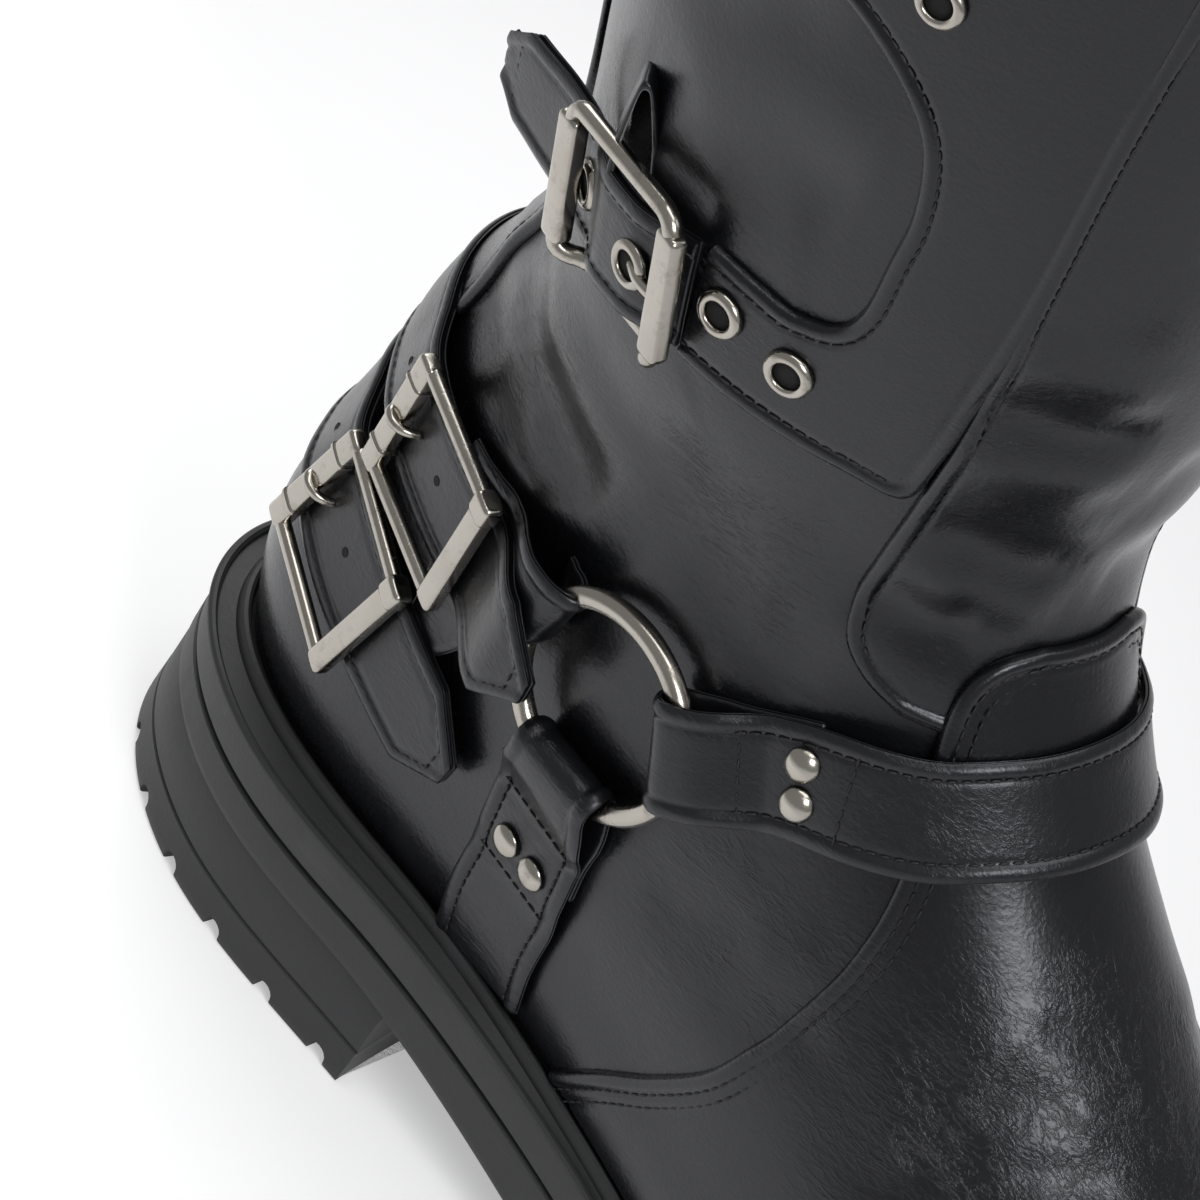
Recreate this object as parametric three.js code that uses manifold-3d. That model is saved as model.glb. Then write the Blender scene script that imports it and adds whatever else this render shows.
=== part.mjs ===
// Wide-calf harness boot, right foot, standing on its sole. Millimetres, +X toe, +Z up, -Y outer side.
// The origin is on the floor, in the middle of the heel's flat face.
import * as THREE from 'three';
import Module from 'manifold-3d';

const wasm = await Module();
wasm.setup();

// Driving sizes
const LENGTH = 273;        // upper, heel to toe, along the line where it meets the sole
const BALL = 100;          // width across the ball, which the widths below are shares of
const RISE = 313.5;        // collar above the heel seat
const HEEL_BLOCK = 18;     // heel block under the platform
const PLATFORM = 18.5;     // platform at the heel seat, floor of the platform to the upper
const PLATFORM_GAIN = 3.5; // how much thicker the platform is under the ball
const TOE_SPRING = 8;
const SOLE_BACK = -46;
const SOLE_TIP = 246;
const BREAST = 41.5;       // front face of the heel block
const WALL = 2.2;          // leather and lining of the upper
const GAP = 0.45;          // between a curved overlay and what it lies on
const OVERLAY = 1.4;       // one layer of leather
const STRAP = 1.3;         // one layer of strap
const RING_RADIUS = 18;    // middle of the O-ring's wire
const RING_WIRE = 1.9;     // radius of that wire
const RING_LIFT = 3.9;
const RING_X = 52;
const RING_Z = 107;
const RIVET = 3.0;
const EYELET = 4.2;
const EYELET_HOLE = 2.4;

// Colours of the photo
const PAINT = {
  leather: { color: 0x1b1c1f, roughness: 0.38, metalness: 0 },
  strap: { color: 0x1d1e21, roughness: 0.42, metalness: 0 },
  lining: { color: 0x8d8d8f, roughness: 0.8, metalness: 0 },
  rubber: { color: 0x26272a, roughness: 0.7, metalness: 0 },
  metal: { color: 0x9b978f, roughness: 0.3, metalness: 1 },
};

// Sections. A row is a closed ring round the boot, from the sole to the collar.
// back, front: its ends along X, shares of LENGTH. low, high: height above the sole at back and front, shares of
// RISE. keep: how far the ring follows the sole's own curve. heel ... tip: widths at STATIONS, swing: shares of BALL.
const STATIONS = [0, 0.12, 0.28, 0.45, 0.7, 0.88, 1];
const SECTIONS = `
  name     keep  low    high   back    front  heel  seat  waist arch  ball  toe   tip   swing
  feather  1.00  0.000  0.000  -0.136  0.864  0.56  0.45  0.35  0.34  0.47  0.58  0.68  0.060
  rand     0.90  0.040  0.036  -0.150  0.875  0.57  0.46  0.37  0.36  0.49  0.60  0.69  0.060
  bump     0.75  0.081  0.070  -0.151  0.868  0.57  0.46  0.38  0.37  0.48  0.58  0.66  0.060
  toetop   0.50  0.123  0.098  -0.136  0.817  0.54  0.45  0.39  0.38  0.44  0.51  0.57  0.050
  vamp     0.30  0.164  0.128  -0.124  0.714  0.50  0.43  0.39  0.38  0.40  0.43  0.47  0.035
  bridge   0.15  0.203  0.165  -0.116  0.612  0.46  0.41  0.39  0.38  0.38  0.39  0.41  0.020
  instep   0.05  0.244  0.214  -0.110  0.524  0.43  0.40  0.38  0.38  0.37  0.37  0.38  0.010
  bend     0.00  0.285  0.273  -0.097  0.441  0.41  0.40  0.38  0.38  0.37  0.36  0.36  0.000
  throat   0.00  0.327  0.333  -0.080  0.383  0.42  0.41  0.40  0.39  0.38  0.37  0.37  0.000
  ankle    0.00  0.378  0.394  -0.060  0.348  0.45  0.45  0.45  0.44  0.43  0.42  0.42  0.000
  shaft1   0.00  0.451  0.458  -0.066  0.348  0.50  0.50  0.50  0.50  0.49  0.48  0.48  0.000
  shaft2   0.00  0.534  0.537  -0.088  0.359  0.54  0.54  0.54  0.54  0.53  0.53  0.52  0.000
  shaft3   0.00  0.649  0.649  -0.121  0.374  0.58  0.58  0.58  0.58  0.57  0.57  0.56  0.000
  calf1    0.00  0.772  0.772  -0.147  0.388  0.61  0.61  0.61  0.61  0.60  0.60  0.59  0.000
  calf2    0.00  0.890  0.890  -0.162  0.397  0.63  0.63  0.63  0.63  0.62  0.62  0.61  0.000
  collar   0.00  1.000  1.000  -0.170  0.402  0.64  0.64  0.64  0.64  0.63  0.63  0.62  0.000
`;
const SOLE_SHARES = [0.64, 0.565, 0.44, 0.40, 0.555, 0.66, 0.76];
const SOLE_SWING = 0.06;

function readTable(text) {
  const lines = text.trim().split('\n').map((line) => line.trim().split(/\s+/));
  const names = lines.shift();
  return lines.map((cells) => Object.fromEntries(names.map((name, k) => [name, k ? Number(cells[k]) : cells[k]])));
}

const ROWS = readTable(SECTIONS);
const TOP_ROW = ROWS.length - 1;
const WIDTH_NAMES = ['heel', 'seat', 'waist', 'arch', 'ball', 'toe', 'tip'];

// Small maths
const clamp = (value, low, high) => Math.min(high, Math.max(low, value));
const radians = (degrees) => degrees * Math.PI / 180;
const mix = (a, b, t) => a + (b - a) * t;

function smooth(t) {
  const s = clamp(t, 0, 1);
  return s * s * (3 - 2 * s);
}

function slopeAt(places, values, k) {
  const last = places.length - 1;
  if (k === 0) return (values[1] - values[0]) / (places[1] - places[0]);
  if (k === last) return (values[last] - values[last - 1]) / (places[last] - places[last - 1]);
  const before = places[k] - places[k - 1];
  const after = places[k + 1] - places[k];
  const low = (values[k] - values[k - 1]) / before;
  const high = (values[k + 1] - values[k]) / after;
  return (low * after + high * before) / (before + after);
}

// Smooth curve through values at rising places
function curve(places, values, at) {
  const x = clamp(at, places[0], places[places.length - 1]);
  let k = 0;
  while (k < places.length - 2 && x > places[k + 1]) k += 1;
  const step = places[k + 1] - places[k];
  const t = (x - places[k]) / step;
  const a = (2 * t ** 3 - 3 * t ** 2 + 1) * values[k] + (t ** 3 - 2 * t ** 2 + t) * step * slopeAt(places, values, k);
  const b = (3 * t ** 2 - 2 * t ** 3) * values[k + 1] + (t ** 3 - t ** 2) * step * slopeAt(places, values, k + 1);
  return a + b;
}

const ROW_PLACES = ROWS.map((row, k) => k);
const COLUMNS = Object.fromEntries(Object.keys(ROWS[0]).map((name) => [name, ROWS.map((row) => row[name])]));
const rowValue = (name, v) => curve(ROW_PLACES, COLUMNS[name], v);

// Sole heights along the foot
function platformFloor(x) {
  const slope = smooth((x - 0.09 * LENGTH) / (0.44 * LENGTH));
  const spring = smooth((x - 0.62 * LENGTH) / (0.28 * LENGTH));
  return HEEL_BLOCK * (1 - slope) + TOE_SPRING * spring;
}

function soleTop(x) {
  return platformFloor(x) + PLATFORM + PLATFORM_GAIN * smooth((x - 0.07 * LENGTH) / (0.33 * LENGTH));
}

const SEAT = soleTop(-0.136 * LENGTH);

// The upper's form: angle 0 is the front, 90 the outer side, 180 the back; v counts the rows
function skin(angle, v) {
  const u = (1 + Math.cos(angle)) / 2;
  const x = mix(rowValue('back', v), rowValue('front', v), u) * LENGTH;
  const widths = WIDTH_NAMES.map((name) => rowValue(name, v));
  const half = Math.sin(angle) * curve(STATIONS, widths, u) * BALL;
  const y = rowValue('swing', v) * BALL * smooth((u - 0.35) / 0.5) - half;
  const rise = mix(rowValue('low', v), rowValue('high', v), u) * RISE;
  const z = SEAT + rowValue('keep', v) * (soleTop(x) - SEAT) + rise;
  return new THREE.Vector3(x, y, z);
}

function tangents(angle, v) {
  const step = 0.002;
  const high = Math.min(v + step, TOP_ROW);
  const low = Math.max(v - step, 0);
  const round = skin(angle + step, v).sub(skin(angle - step, v)).divideScalar(2 * step);
  const up = skin(angle, high).sub(skin(angle, low)).divideScalar(high - low);
  const normal = up.clone().cross(round).normalize();
  return { round, up, normal };
}

function lifted(angle, v, lift) {
  const point = skin(angle, v);
  return lift === 0 ? point : point.addScaledVector(tangents(angle, v).normal, lift);
}

// Spots on the form: found from X and Z on one side, or from an angle and a height
function spotAt(x, z, side) {
  let v = TOP_ROW / 2;
  let angle = Math.PI / 2;
  for (let pass = 0; pass < 40; pass += 1) {
    const back = rowValue('back', v) * LENGTH;
    const front = rowValue('front', v) * LENGTH;
    angle = Math.acos(clamp(2 * (x - back) / (front - back) - 1, -1, 1));
    const slope = (skin(angle, Math.min(v + 0.05, TOP_ROW)).z - skin(angle, Math.max(v - 0.05, 0)).z) / 0.1;
    v = clamp(v + 0.7 * (z - skin(angle, v).z) / slope, 0, TOP_ROW);
  }
  return [side * angle, v];
}

function spotUp(degrees, z) {
  const angle = radians(degrees);
  let v = TOP_ROW / 2;
  for (let pass = 0; pass < 40; pass += 1) {
    const slope = (skin(angle, Math.min(v + 0.05, TOP_ROW)).z - skin(angle, Math.max(v - 0.05, 0)).z) / 0.1;
    v = clamp(v + 0.7 * (z - skin(angle, v).z) / slope, 0, TOP_ROW);
  }
  return [angle, v];
}

// Meshes
function geometryOf(points, faces) {
  const geometry = new THREE.BufferGeometry();
  geometry.setAttribute('position', new THREE.Float32BufferAttribute(points.flatMap((p) => [p.x, p.y, p.z]), 3));
  let volume = 0;
  for (const [a, b, c] of faces) volume += points[a].dot(points[b].clone().cross(points[c]));
  geometry.setIndex(faces.flatMap(([a, b, c]) => (volume > 0 ? [a, b, c] : [a, c, b])));
  geometry.computeVertexNormals();
  return geometry;
}

function quad(faces, a, b, c, d) {
  faces.push([a, b, c], [a, c, d]);
}

// A wall between two grids of points, open or running round
function wallBetween(outer, inner, round) {
  const rows = outer.length;
  const columns = outer[0].length;
  const points = [...outer.flat(), ...inner.flat()];
  const faces = [];
  const out = (i, j) => i * columns + (j % columns);
  const back = (i, j) => rows * columns + out(i, j);
  const last = round ? columns : columns - 1;
  for (let j = 0; j < last; j += 1) {
    for (let i = 0; i < rows - 1; i += 1) {
      quad(faces, out(i, j + 1), out(i + 1, j + 1), out(i + 1, j), out(i, j));
      quad(faces, back(i + 1, j), back(i + 1, j + 1), back(i, j + 1), back(i, j));
    }
    quad(faces, back(0, j), back(0, j + 1), out(0, j + 1), out(0, j));
    quad(faces, out(rows - 1, j), out(rows - 1, j + 1), back(rows - 1, j + 1), back(rows - 1, j));
  }
  if (!round) {
    const end = columns - 1;
    for (let i = 0; i < rows - 1; i += 1) {
      quad(faces, out(i, 0), out(i + 1, 0), back(i + 1, 0), back(i, 0));
      quad(faces, back(i, end), back(i + 1, end), out(i + 1, end), out(i, end));
    }
  }
  return geometryOf(points, faces);
}

// A solid of stacked rings, its first and last closed by rungs from side to side
function stack(rings) {
  const count = rings[0].length;
  const faces = [];
  for (let k = 0; k < rings.length - 1; k += 1) {
    for (let j = 0; j < count; j += 1) {
      const next = (j + 1) % count;
      quad(faces, k * count + j, k * count + next, (k + 1) * count + next, (k + 1) * count + j);
    }
  }
  const last = (rings.length - 1) * count;
  for (let j = 0; j < count / 2; j += 1) {
    const rung = [j, j + 1, count - j - 1, (count - j) % count];
    const corners = rung.filter((corner, k) => rung.indexOf(corner) === k);
    for (let k = 1; k < corners.length - 1; k += 1) {
      faces.push([corners[0], corners[k + 1], corners[k]]);
      faces.push([last + corners[0], last + corners[k], last + corners[k + 1]]);
    }
  }
  return geometryOf(rings.flat(), faces);
}

function toManifold(geometry) {
  const clean = geometry.index ? geometry : geometry.clone();
  const position = clean.getAttribute('position');
  const keys = new Map();
  const remap = [];
  const vertices = [];
  for (let k = 0; k < position.count; k += 1) {
    const key = [position.getX(k), position.getY(k), position.getZ(k)].map((n) => n.toFixed(4)).join(',');
    if (!keys.has(key)) {
      keys.set(key, vertices.length / 3);
      vertices.push(position.getX(k), position.getY(k), position.getZ(k));
    }
    remap.push(keys.get(key));
  }
  const source = clean.index ? Array.from(clean.index.array) : remap.map((n, k) => k);
  const triangles = [];
  for (let k = 0; k < source.length; k += 3) {
    const [a, b, c] = [remap[source[k]], remap[source[k + 1]], remap[source[k + 2]]];
    if (a !== b && b !== c && a !== c) triangles.push(a, b, c);
  }
  return new wasm.Manifold(new wasm.Mesh({
    numProp: 3,
    vertProperties: new Float32Array(vertices),
    triVerts: new Uint32Array(triangles),
  }));
}

function fromManifold(solid) {
  const mesh = solid.getMesh();
  const geometry = new THREE.BufferGeometry();
  const positions = [];
  for (let k = 0; k < mesh.vertProperties.length; k += mesh.numProp) {
    positions.push(mesh.vertProperties[k], mesh.vertProperties[k + 1], mesh.vertProperties[k + 2]);
  }
  geometry.setAttribute('position', new THREE.Float32BufferAttribute(positions, 3));
  geometry.setIndex(Array.from(mesh.triVerts));
  geometry.computeVertexNormals();
  return geometry;
}

const joined = (parts) => fromManifold(parts.map(toManifold).reduce((a, b) => a.add(b)));

function without(body, cutters) {
  return fromManifold(cutters.map(toManifold).reduce((a, b) => a.subtract(b), toManifold(body)));
}

function within(body, region) {
  return fromManifold(toManifold(body).intersect(toManifold(region)));
}

const boot = new THREE.Group();

function addNode(name, geometry, paint) {
  const mesh = new THREE.Mesh(geometry, new THREE.MeshStandardMaterial(PAINT[paint]));
  mesh.name = name;
  boot.add(mesh);
}

// Upper: an outer form less an inner one; the overlays share its grid
const COLUMNS_ROUND = 36;
const UPPER_ROWS = [0, 0.7, 1.4, 2.1, 2.8, 3.5, 4.3, 5.2, 6, 6.8, 7.5, 8.2, 9.1, 10.3, 12, 13.5, 15];

function bodyRing(v, lift, columns, raise = 0) {
  return Array.from({ length: columns }, (unused, j) => {
    const point = lifted(2 * Math.PI * j / columns, v, lift);
    point.z += raise;
    return point;
  });
}

function makeUpper() {
  const outer = stack(UPPER_ROWS.map((v) => bodyRing(v, 0, COLUMNS_ROUND)).reverse());
  const rows = [0.8, 1.6, 2.4, 3.2, 4.2, 5.2, 6.2, 7.1, 8, 9, 10.4, 12.4];
  const inner = stack([
    bodyRing(0, -WALL, 24, -6),
    ...[0, ...rows, TOP_ROW].map((v) => bodyRing(v, -WALL, 24)),
    bodyRing(TOP_ROW, -WALL, 24, 6),
  ].reverse());
  return without(outer, [inner]);
}

// A layer of leather on the upper's own grid, and regions that cut it to shape
function makeLayer(fromRow, toRow, fromAngle, toAngle, lowLift, highLift) {
  const step = 360 / COLUMNS_ROUND;
  const first = Math.floor(fromAngle / step) - 1;
  const last = Math.ceil(toAngle / step) + 1;
  const rows = UPPER_ROWS.filter((v) => v >= fromRow && v <= toRow);
  const grid = (lift) => rows.map((v) => Array.from({ length: last - first + 1 }, (unused, k) => (
    lifted(radians((first + k) * step), v, lift(v))
  )));
  return wallBetween(grid(highLift), grid(lowLift), false);
}

function makeRegion(rows, columns) {
  const grid = (lift) => rows.map(([v, from, to]) => Array.from({ length: columns + 1 }, (unused, k) => {
    const point = lifted(radians(mix(from, to, k / columns)), v, lift);
    if (v === TOP_ROW) point.z += 4;
    return point;
  }));
  return wallBetween(grid(8), grid(-4), false);
}

const flatLayer = (fromRow, toRow, fromAngle, toAngle) => (
  makeLayer(fromRow, toRow, fromAngle, toAngle, () => GAP, () => GAP + OVERLAY)
);

// Outlines of upper and sole on the ground plan, pushed outward by an offset
function planPoint(base, angle) {
  if (base === 'upper') return skin(angle, 0);
  const u = (1 + Math.cos(angle)) / 2;
  const half = Math.sin(angle) * curve(STATIONS, SOLE_SHARES, u) * BALL;
  return new THREE.Vector3(mix(SOLE_BACK, SOLE_TIP, u), SOLE_SWING * BALL * smooth((u - 0.35) / 0.5) - half, 0);
}

function planNormal(base, angle) {
  const along = planPoint(base, angle + 0.002).sub(planPoint(base, angle - 0.002));
  return new THREE.Vector3(along.y, -along.x, 0).normalize().negate();
}

function planOutward(base, angle, offset) {
  const outward = planNormal(base, angle);
  return planPoint(base, angle).addScaledVector(outward, offset);
}

const PLAN_POINTS = 46;
const PLAN_ANGLES = Array.from({ length: PLAN_POINTS }, (unused, j) => 2 * Math.PI * j / PLAN_POINTS);

function planRing(base, offset, height) {
  return PLAN_ANGLES.map((angle) => {
    const point = planOutward(base, angle, offset);
    point.z = height(point.x);
    return point;
  });
}

// Side of the sole from the upper down: what it follows, its offset, its drop below the upper's edge
const SOLE_SIDE = [
  ['upper', 0.6, 0.35],
  ['upper', 1.0, -1.0],
  ['upper', 2.4, -0.9],
  ['upper', 3.2, 0.5],
  ['sole', -1.9, 1.9],
  ['sole', -1.2, 1.1],
  ['sole', 0.0, 1.7],
  ['sole', -0.7, 2.8],
  ['sole', -0.7, 9.6],
  ['sole', -1.7, 9.9],
  ['sole', -1.7, 10.8],
  ['sole', -0.6, 11.1],
];

const NOTCH_PITCH = 14.5;
const NOTCH_WIDTH = 4.4;
const NOTCH_HEIGHT = 3;
const NOTCH_DEPTH = 6;

// Notches: half-round cutters across the bottom edge, one pitch apart round the heel and along the forefoot
function notchCutters() {
  const cutters = [];
  const samples = 720;
  let walked = 0;
  let previous = planOutward('sole', 0, 0);
  for (let k = 1; k < samples; k += 1) {
    const angle = 2 * Math.PI * k / samples;
    const point = planOutward('sole', angle, 0);
    walked += point.distanceTo(previous);
    previous = point;
    const onHeel = point.x < BREAST - 6;
    const onFront = point.x > 0.42 * LENGTH;
    if (walked < NOTCH_PITCH || !(onHeel || onFront)) continue;
    walked = 0;
    const outward = planNormal('sole', angle);
    const floor = onHeel ? 0 : platformFloor(point.x);
    const profile = new THREE.Shape();
    profile.moveTo(-NOTCH_WIDTH / 2, -4);
    profile.lineTo(NOTCH_WIDTH / 2, -4);
    profile.lineTo(NOTCH_WIDTH / 2, 0.55 * NOTCH_HEIGHT);
    profile.lineTo(0, NOTCH_HEIGHT);
    profile.lineTo(-NOTCH_WIDTH / 2, 0.55 * NOTCH_HEIGHT);
    const cutter = new THREE.ExtrudeGeometry(profile, { depth: NOTCH_DEPTH + 5, bevelEnabled: false });
    const along = new THREE.Vector3(0, 0, 1).cross(outward);
    const place = new THREE.Matrix4().makeBasis(along, new THREE.Vector3(0, 0, 1), outward);
    const start = point.clone().addScaledVector(outward, -NOTCH_DEPTH);
    place.setPosition(start.x, start.y, floor);
    cutters.push(cutter.applyMatrix4(place));
  }
  return cutters;
}

// Heel block: the sole's back arc closed by a slightly hollow breast
function makeHeelBlock() {
  const arcSteps = 26;
  const chordSteps = 3;
  const ring = (offset, height, breast) => {
    const reach = Math.acos(clamp(2 * (breast - SOLE_BACK) / (SOLE_TIP - SOLE_BACK) - 1, -1, 1));
    const corner = (side) => planOutward('sole', side * reach, offset);
    const chord = (side, t) => {
      const end = corner(side);
      const middle = (corner(1).y + corner(-1).y) / 2;
      return new THREE.Vector3(end.x - 3.2 * (1 - t * t), mix(middle, end.y, t), 0);
    };
    const points = [];
    for (let k = 0; k < chordSteps; k += 1) points.push(chord(1, k / chordSteps));
    for (let k = 0; k <= arcSteps; k += 1) {
      points.push(planOutward('sole', mix(reach, 2 * Math.PI - reach, k / arcSteps), offset));
    }
    for (let k = chordSteps - 1; k > 0; k -= 1) points.push(chord(-1, k / chordSteps));
    return points.map((point) => new THREE.Vector3(point.x, point.y, height(point.x)));
  };
  return stack([
    ring(-1.8, (x) => platformFloor(x) + 4, BREAST + 1),
    ring(-0.9, (x) => platformFloor(x) + 0.4, BREAST + 1),
    ring(0.8, () => 0.42 * HEEL_BLOCK, BREAST + 0.5),
    ring(1.6, () => 1, BREAST),
    ring(0.9, () => 0, BREAST - 0.6),
  ]);
}

function makeOutsole() {
  const side = SOLE_SIDE.map(([base, offset, drop]) => planRing(base, offset, (x) => soleTop(x) - drop));
  const lower = [planRing('sole', -0.2, (x) => platformFloor(x) + 1.2), planRing('sole', -1.3, platformFloor)];
  const platform = stack([...side, ...lower]);
  return without(joined([platform, makeHeelBlock()]), notchCutters());
}

function makeInsole() {
  const inset = -(WALL + 1.1);
  const level = (lift) => planRing('upper', inset, (x) => soleTop(x) + lift);
  return stack([level(2.9), level(0)]);
}

// Vamp: how far round it reaches on each row, in degrees; its tab stands over the front panel
const VAMP_REACH = `
  name      v     reach
  edge      0.20  101.5
  low       1.00  98
  low2      1.80  94.5
  side      2.60  90.5
  side2     3.40  86
  rise      4.10  79
  rise2     4.80  70
  rise3     5.50  61
  waist     6.20  51
  tab       6.90  43
  tab2      7.30  39.5
  tab3      7.80  36
  top       8.20  32
  top2      8.45  27
  top3      8.62  21
  edge2     8.72  13
`;
const tabLift = (v) => 1.7 * smooth((v - 7.05) / 0.7);

function makeVamp() {
  const rows = readTable(VAMP_REACH).map((row) => [row.v, -row.reach, row.reach]);
  const layer = makeLayer(0, 9.6, -103, 103, (v) => GAP + tabLift(v), (v) => GAP + OVERLAY + tabLift(v));
  return within(layer, makeRegion(rows, 16));
}

// Front panel: its outer and inner edges on each row, in degrees; the lower corners are round
const PANEL_EDGES = `
  name     v      inner  outer
  corner   7.86   -20    43
  corner2  8.02   -27    49
  corner3  8.30   -31    52
  corner4  8.70   -31    51
  low      9.20   -30    48
  low2     9.90   -28    45.5
  strap    10.90  -27    44.5
  middle   11.70  -27    46
  upper    12.60  -28    47.5
  upper2   13.80  -28    48
  collar   15.00  -28    48
`;
const PANEL = readTable(PANEL_EDGES);
const panelEdge = (name, v) => curve(PANEL.map((row) => row.v), PANEL.map((row) => row[name]), v);

function makeFrontPanel() {
  const rows = PANEL.map((row) => [row.v, row.inner, row.outer]);
  return within(flatLayer(7.5, TOP_ROW, -32, 53), makeRegion(rows, 6));
}

// Outer side panel: from the front panel back to the stay, with the cut-out and the free lower strap taken away
const SIDE_LOW = 178;         // height of its lower edge
const SIDE_HIGH = 279;        // height of its upper edge
const CUT_LOW = 201;          // cut-out between the two shaft straps
const CUT_HIGH = 256;
const CUT_FRONT = 65;         // degrees round from the front
const STAY_EDGE = 148;
const FREE_FROM = 88.5;         // the lower strap is a free strap from here back

function makeSidePanel() {
  const inCut = [0.2, 0.49, 0.78].map((share) => mix(CUT_LOW, CUT_HIGH, share));
  const belowCut = mix(SIDE_LOW, CUT_LOW, 0.52);
  const aboveCut = mix(CUT_HIGH, SIDE_HIGH, 0.48);
  const heights = [SIDE_LOW, belowCut, CUT_LOW, ...inCut, CUT_HIGH, aboveCut, SIDE_HIGH];
  const rows = heights.map((z) => {
    const v = spotUp(90, z)[1];
    return [v, panelEdge('outer', v) + 0.5, STAY_EDGE - 0.5];
  });
  const body = within(flatLayer(9.1, 13.5, 40, 150), makeRegion(rows, 10));
  const corner = [[0, 9], [2.5, 3], [8, 0], [30, 0], [42, 3], [50, 10], [55, 22]];
  const cutRows = corner.map(([rise, turn]) => [spotUp(90, CUT_LOW + rise)[1], CUT_FRONT + turn, STAY_EDGE + 8]);
  const freeRows = [SIDE_LOW - 6, CUT_LOW + 2].map((z) => [spotUp(90, z)[1], FREE_FROM, STAY_EDGE + 8]);
  return without(body, [makeRegion(cutRows, 8), makeRegion(freeRows, 6)]);
}

function makeBackStay() {
  const rows = [7.6, 9, 11, 13, TOP_ROW].map((v) => [v, STAY_EDGE + 0.5, 360 - STAY_EDGE - 0.5]);
  return within(flatLayer(6.8, TOP_ROW, STAY_EDGE, 360 - STAY_EDGE), makeRegion(rows, 5));
}

// Routes over the form through spots, measured along their length
function routeOver(spots) {
  const places = spots.map((spot, k) => k);
  const column = (index) => spots.map((spot) => spot[index]);
  const spot = (t) => [curve(places, column(0), t), curve(places, column(1), t)];
  const count = 80;
  const walked = [0];
  for (let k = 1; k <= count; k += 1) {
    const here = skin(...spot((k - 1) * (spots.length - 1) / count));
    const there = skin(...spot(k * (spots.length - 1) / count));
    walked.push(walked[k - 1] + here.distanceTo(there));
  }
  const length = walked[count];
  const at = (distance) => {
    const s = clamp(distance, 0, length);
    let k = 1;
    while (k < count && walked[k] < s) k += 1;
    const t = (k - 1 + (s - walked[k - 1]) / (walked[k] - walked[k - 1])) * (spots.length - 1) / count;
    return spot(t);
  };
  return { length, at };
}

// Place on a route: distance along it, distance across it, lift off the form
function placeOn(route, distance, across, lift) {
  let [angle, v] = route.at(distance);
  const ahead = skin(...route.at(distance + 1)).sub(skin(...route.at(distance - 1)));
  for (let half = 0; half < 2; half += 1) {
    const { round, up, normal } = tangents(angle, v);
    const side = normal.clone().cross(ahead).normalize().multiplyScalar(across / 2);
    const a = round.dot(round);
    const b = round.dot(up);
    const d = up.dot(up);
    const right = [side.dot(round), side.dot(up)];
    angle += (right[0] * d - right[1] * b) / (a * d - b * b);
    v = clamp(v + (right[1] * a - right[0] * b) / (a * d - b * b), 0, TOP_ROW);
  }
  return lifted(angle, v, lift);
}

// A strip of leather: an outline of [distance, lift], there and back in as many points, carried across its width
function makeStrip(route, outline, halfWidth, shift = (distance, width, lift) => [0, lift], across = 3) {
  const columns = Array.from({ length: across + 1 }, (unused, m) => 2 * m / across - 1);
  const points = columns.flatMap((share) => outline.map(([distance, lift]) => {
    const width = share * halfWidth(distance);
    const [along, height] = shift(distance, width, lift);
    return placeOn(route, distance + along, width, height);
  }));
  const count = outline.length;
  const faces = [];
  for (let m = 0; m < across; m += 1) {
    for (let k = 0; k < count; k += 1) {
      const next = (k + 1) % count;
      quad(faces, m * count + k, m * count + next, (m + 1) * count + next, (m + 1) * count + k);
    }
  }
  const end = across * count;
  for (let k = 0; k < count / 2 - 1; k += 1) {
    quad(faces, k + 1, k, count - 1 - k, count - 2 - k);
    quad(faces, end + k, end + k + 1, end + count - 2 - k, end + count - 1 - k);
  }
  return geometryOf(points, faces);
}

// Outline of a layer of leather from the middle line of its section
function layerOutline(middle, thick) {
  const sides = middle.map((point, k) => {
    const before = middle[Math.max(k - 1, 0)];
    const after = middle[Math.min(k + 1, middle.length - 1)];
    const first = new THREE.Vector2(point[0] - before[0], point[1] - before[1]).normalize();
    const second = new THREE.Vector2(after[0] - point[0], after[1] - point[1]).normalize();
    const along = first.clone().add(second).normalize();
    const stretch = 1 / Math.max(0.5, k === 0 || k === middle.length - 1 ? 1 : along.dot(first));
    return [-along.y * stretch * thick / 2, along.x * stretch * thick / 2];
  });
  const left = middle.map((point, k) => [point[0] + sides[k][0], point[1] + sides[k][1]]);
  const right = middle.map((point, k) => [point[0] - sides[k][0], point[1] - sides[k][1]]);
  return [...left, ...right.reverse()];
}

// Rings
function ringFrame(side) {
  const [angle, v] = spotAt(RING_X, RING_Z, side);
  const { normal } = tangents(angle, v);
  const ahead = new THREE.Vector3(1, 0, 0).addScaledVector(normal, -normal.x).normalize();
  const upward = normal.clone().cross(ahead).multiplyScalar(side);
  return { centre: lifted(angle, v, RING_LIFT), ahead, upward, normal };
}

function makeRing(side, extra = 0) {
  const { centre, ahead, upward, normal } = ringFrame(side);
  const torus = new THREE.TorusGeometry(RING_RADIUS, RING_WIRE + extra, 6, extra ? 16 : 24);
  const place = new THREE.Matrix4().makeBasis(ahead, side > 0 ? upward : upward.clone().negate(), normal);
  return fromManifold(toManifold(torus.applyMatrix4(place.setPosition(centre))));
}

// A strap with a clearance to the rings it goes round; only its main body is kept
const CLEAR = 0.3;

function cleared(strap, sides) {
  const bodies = toManifold(without(strap, sides.map((side) => makeRing(side, CLEAR)))).decompose();
  return fromManifold(bodies.reduce((a, b) => (a.volume() > b.volume() ? a : b)));
}

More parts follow.
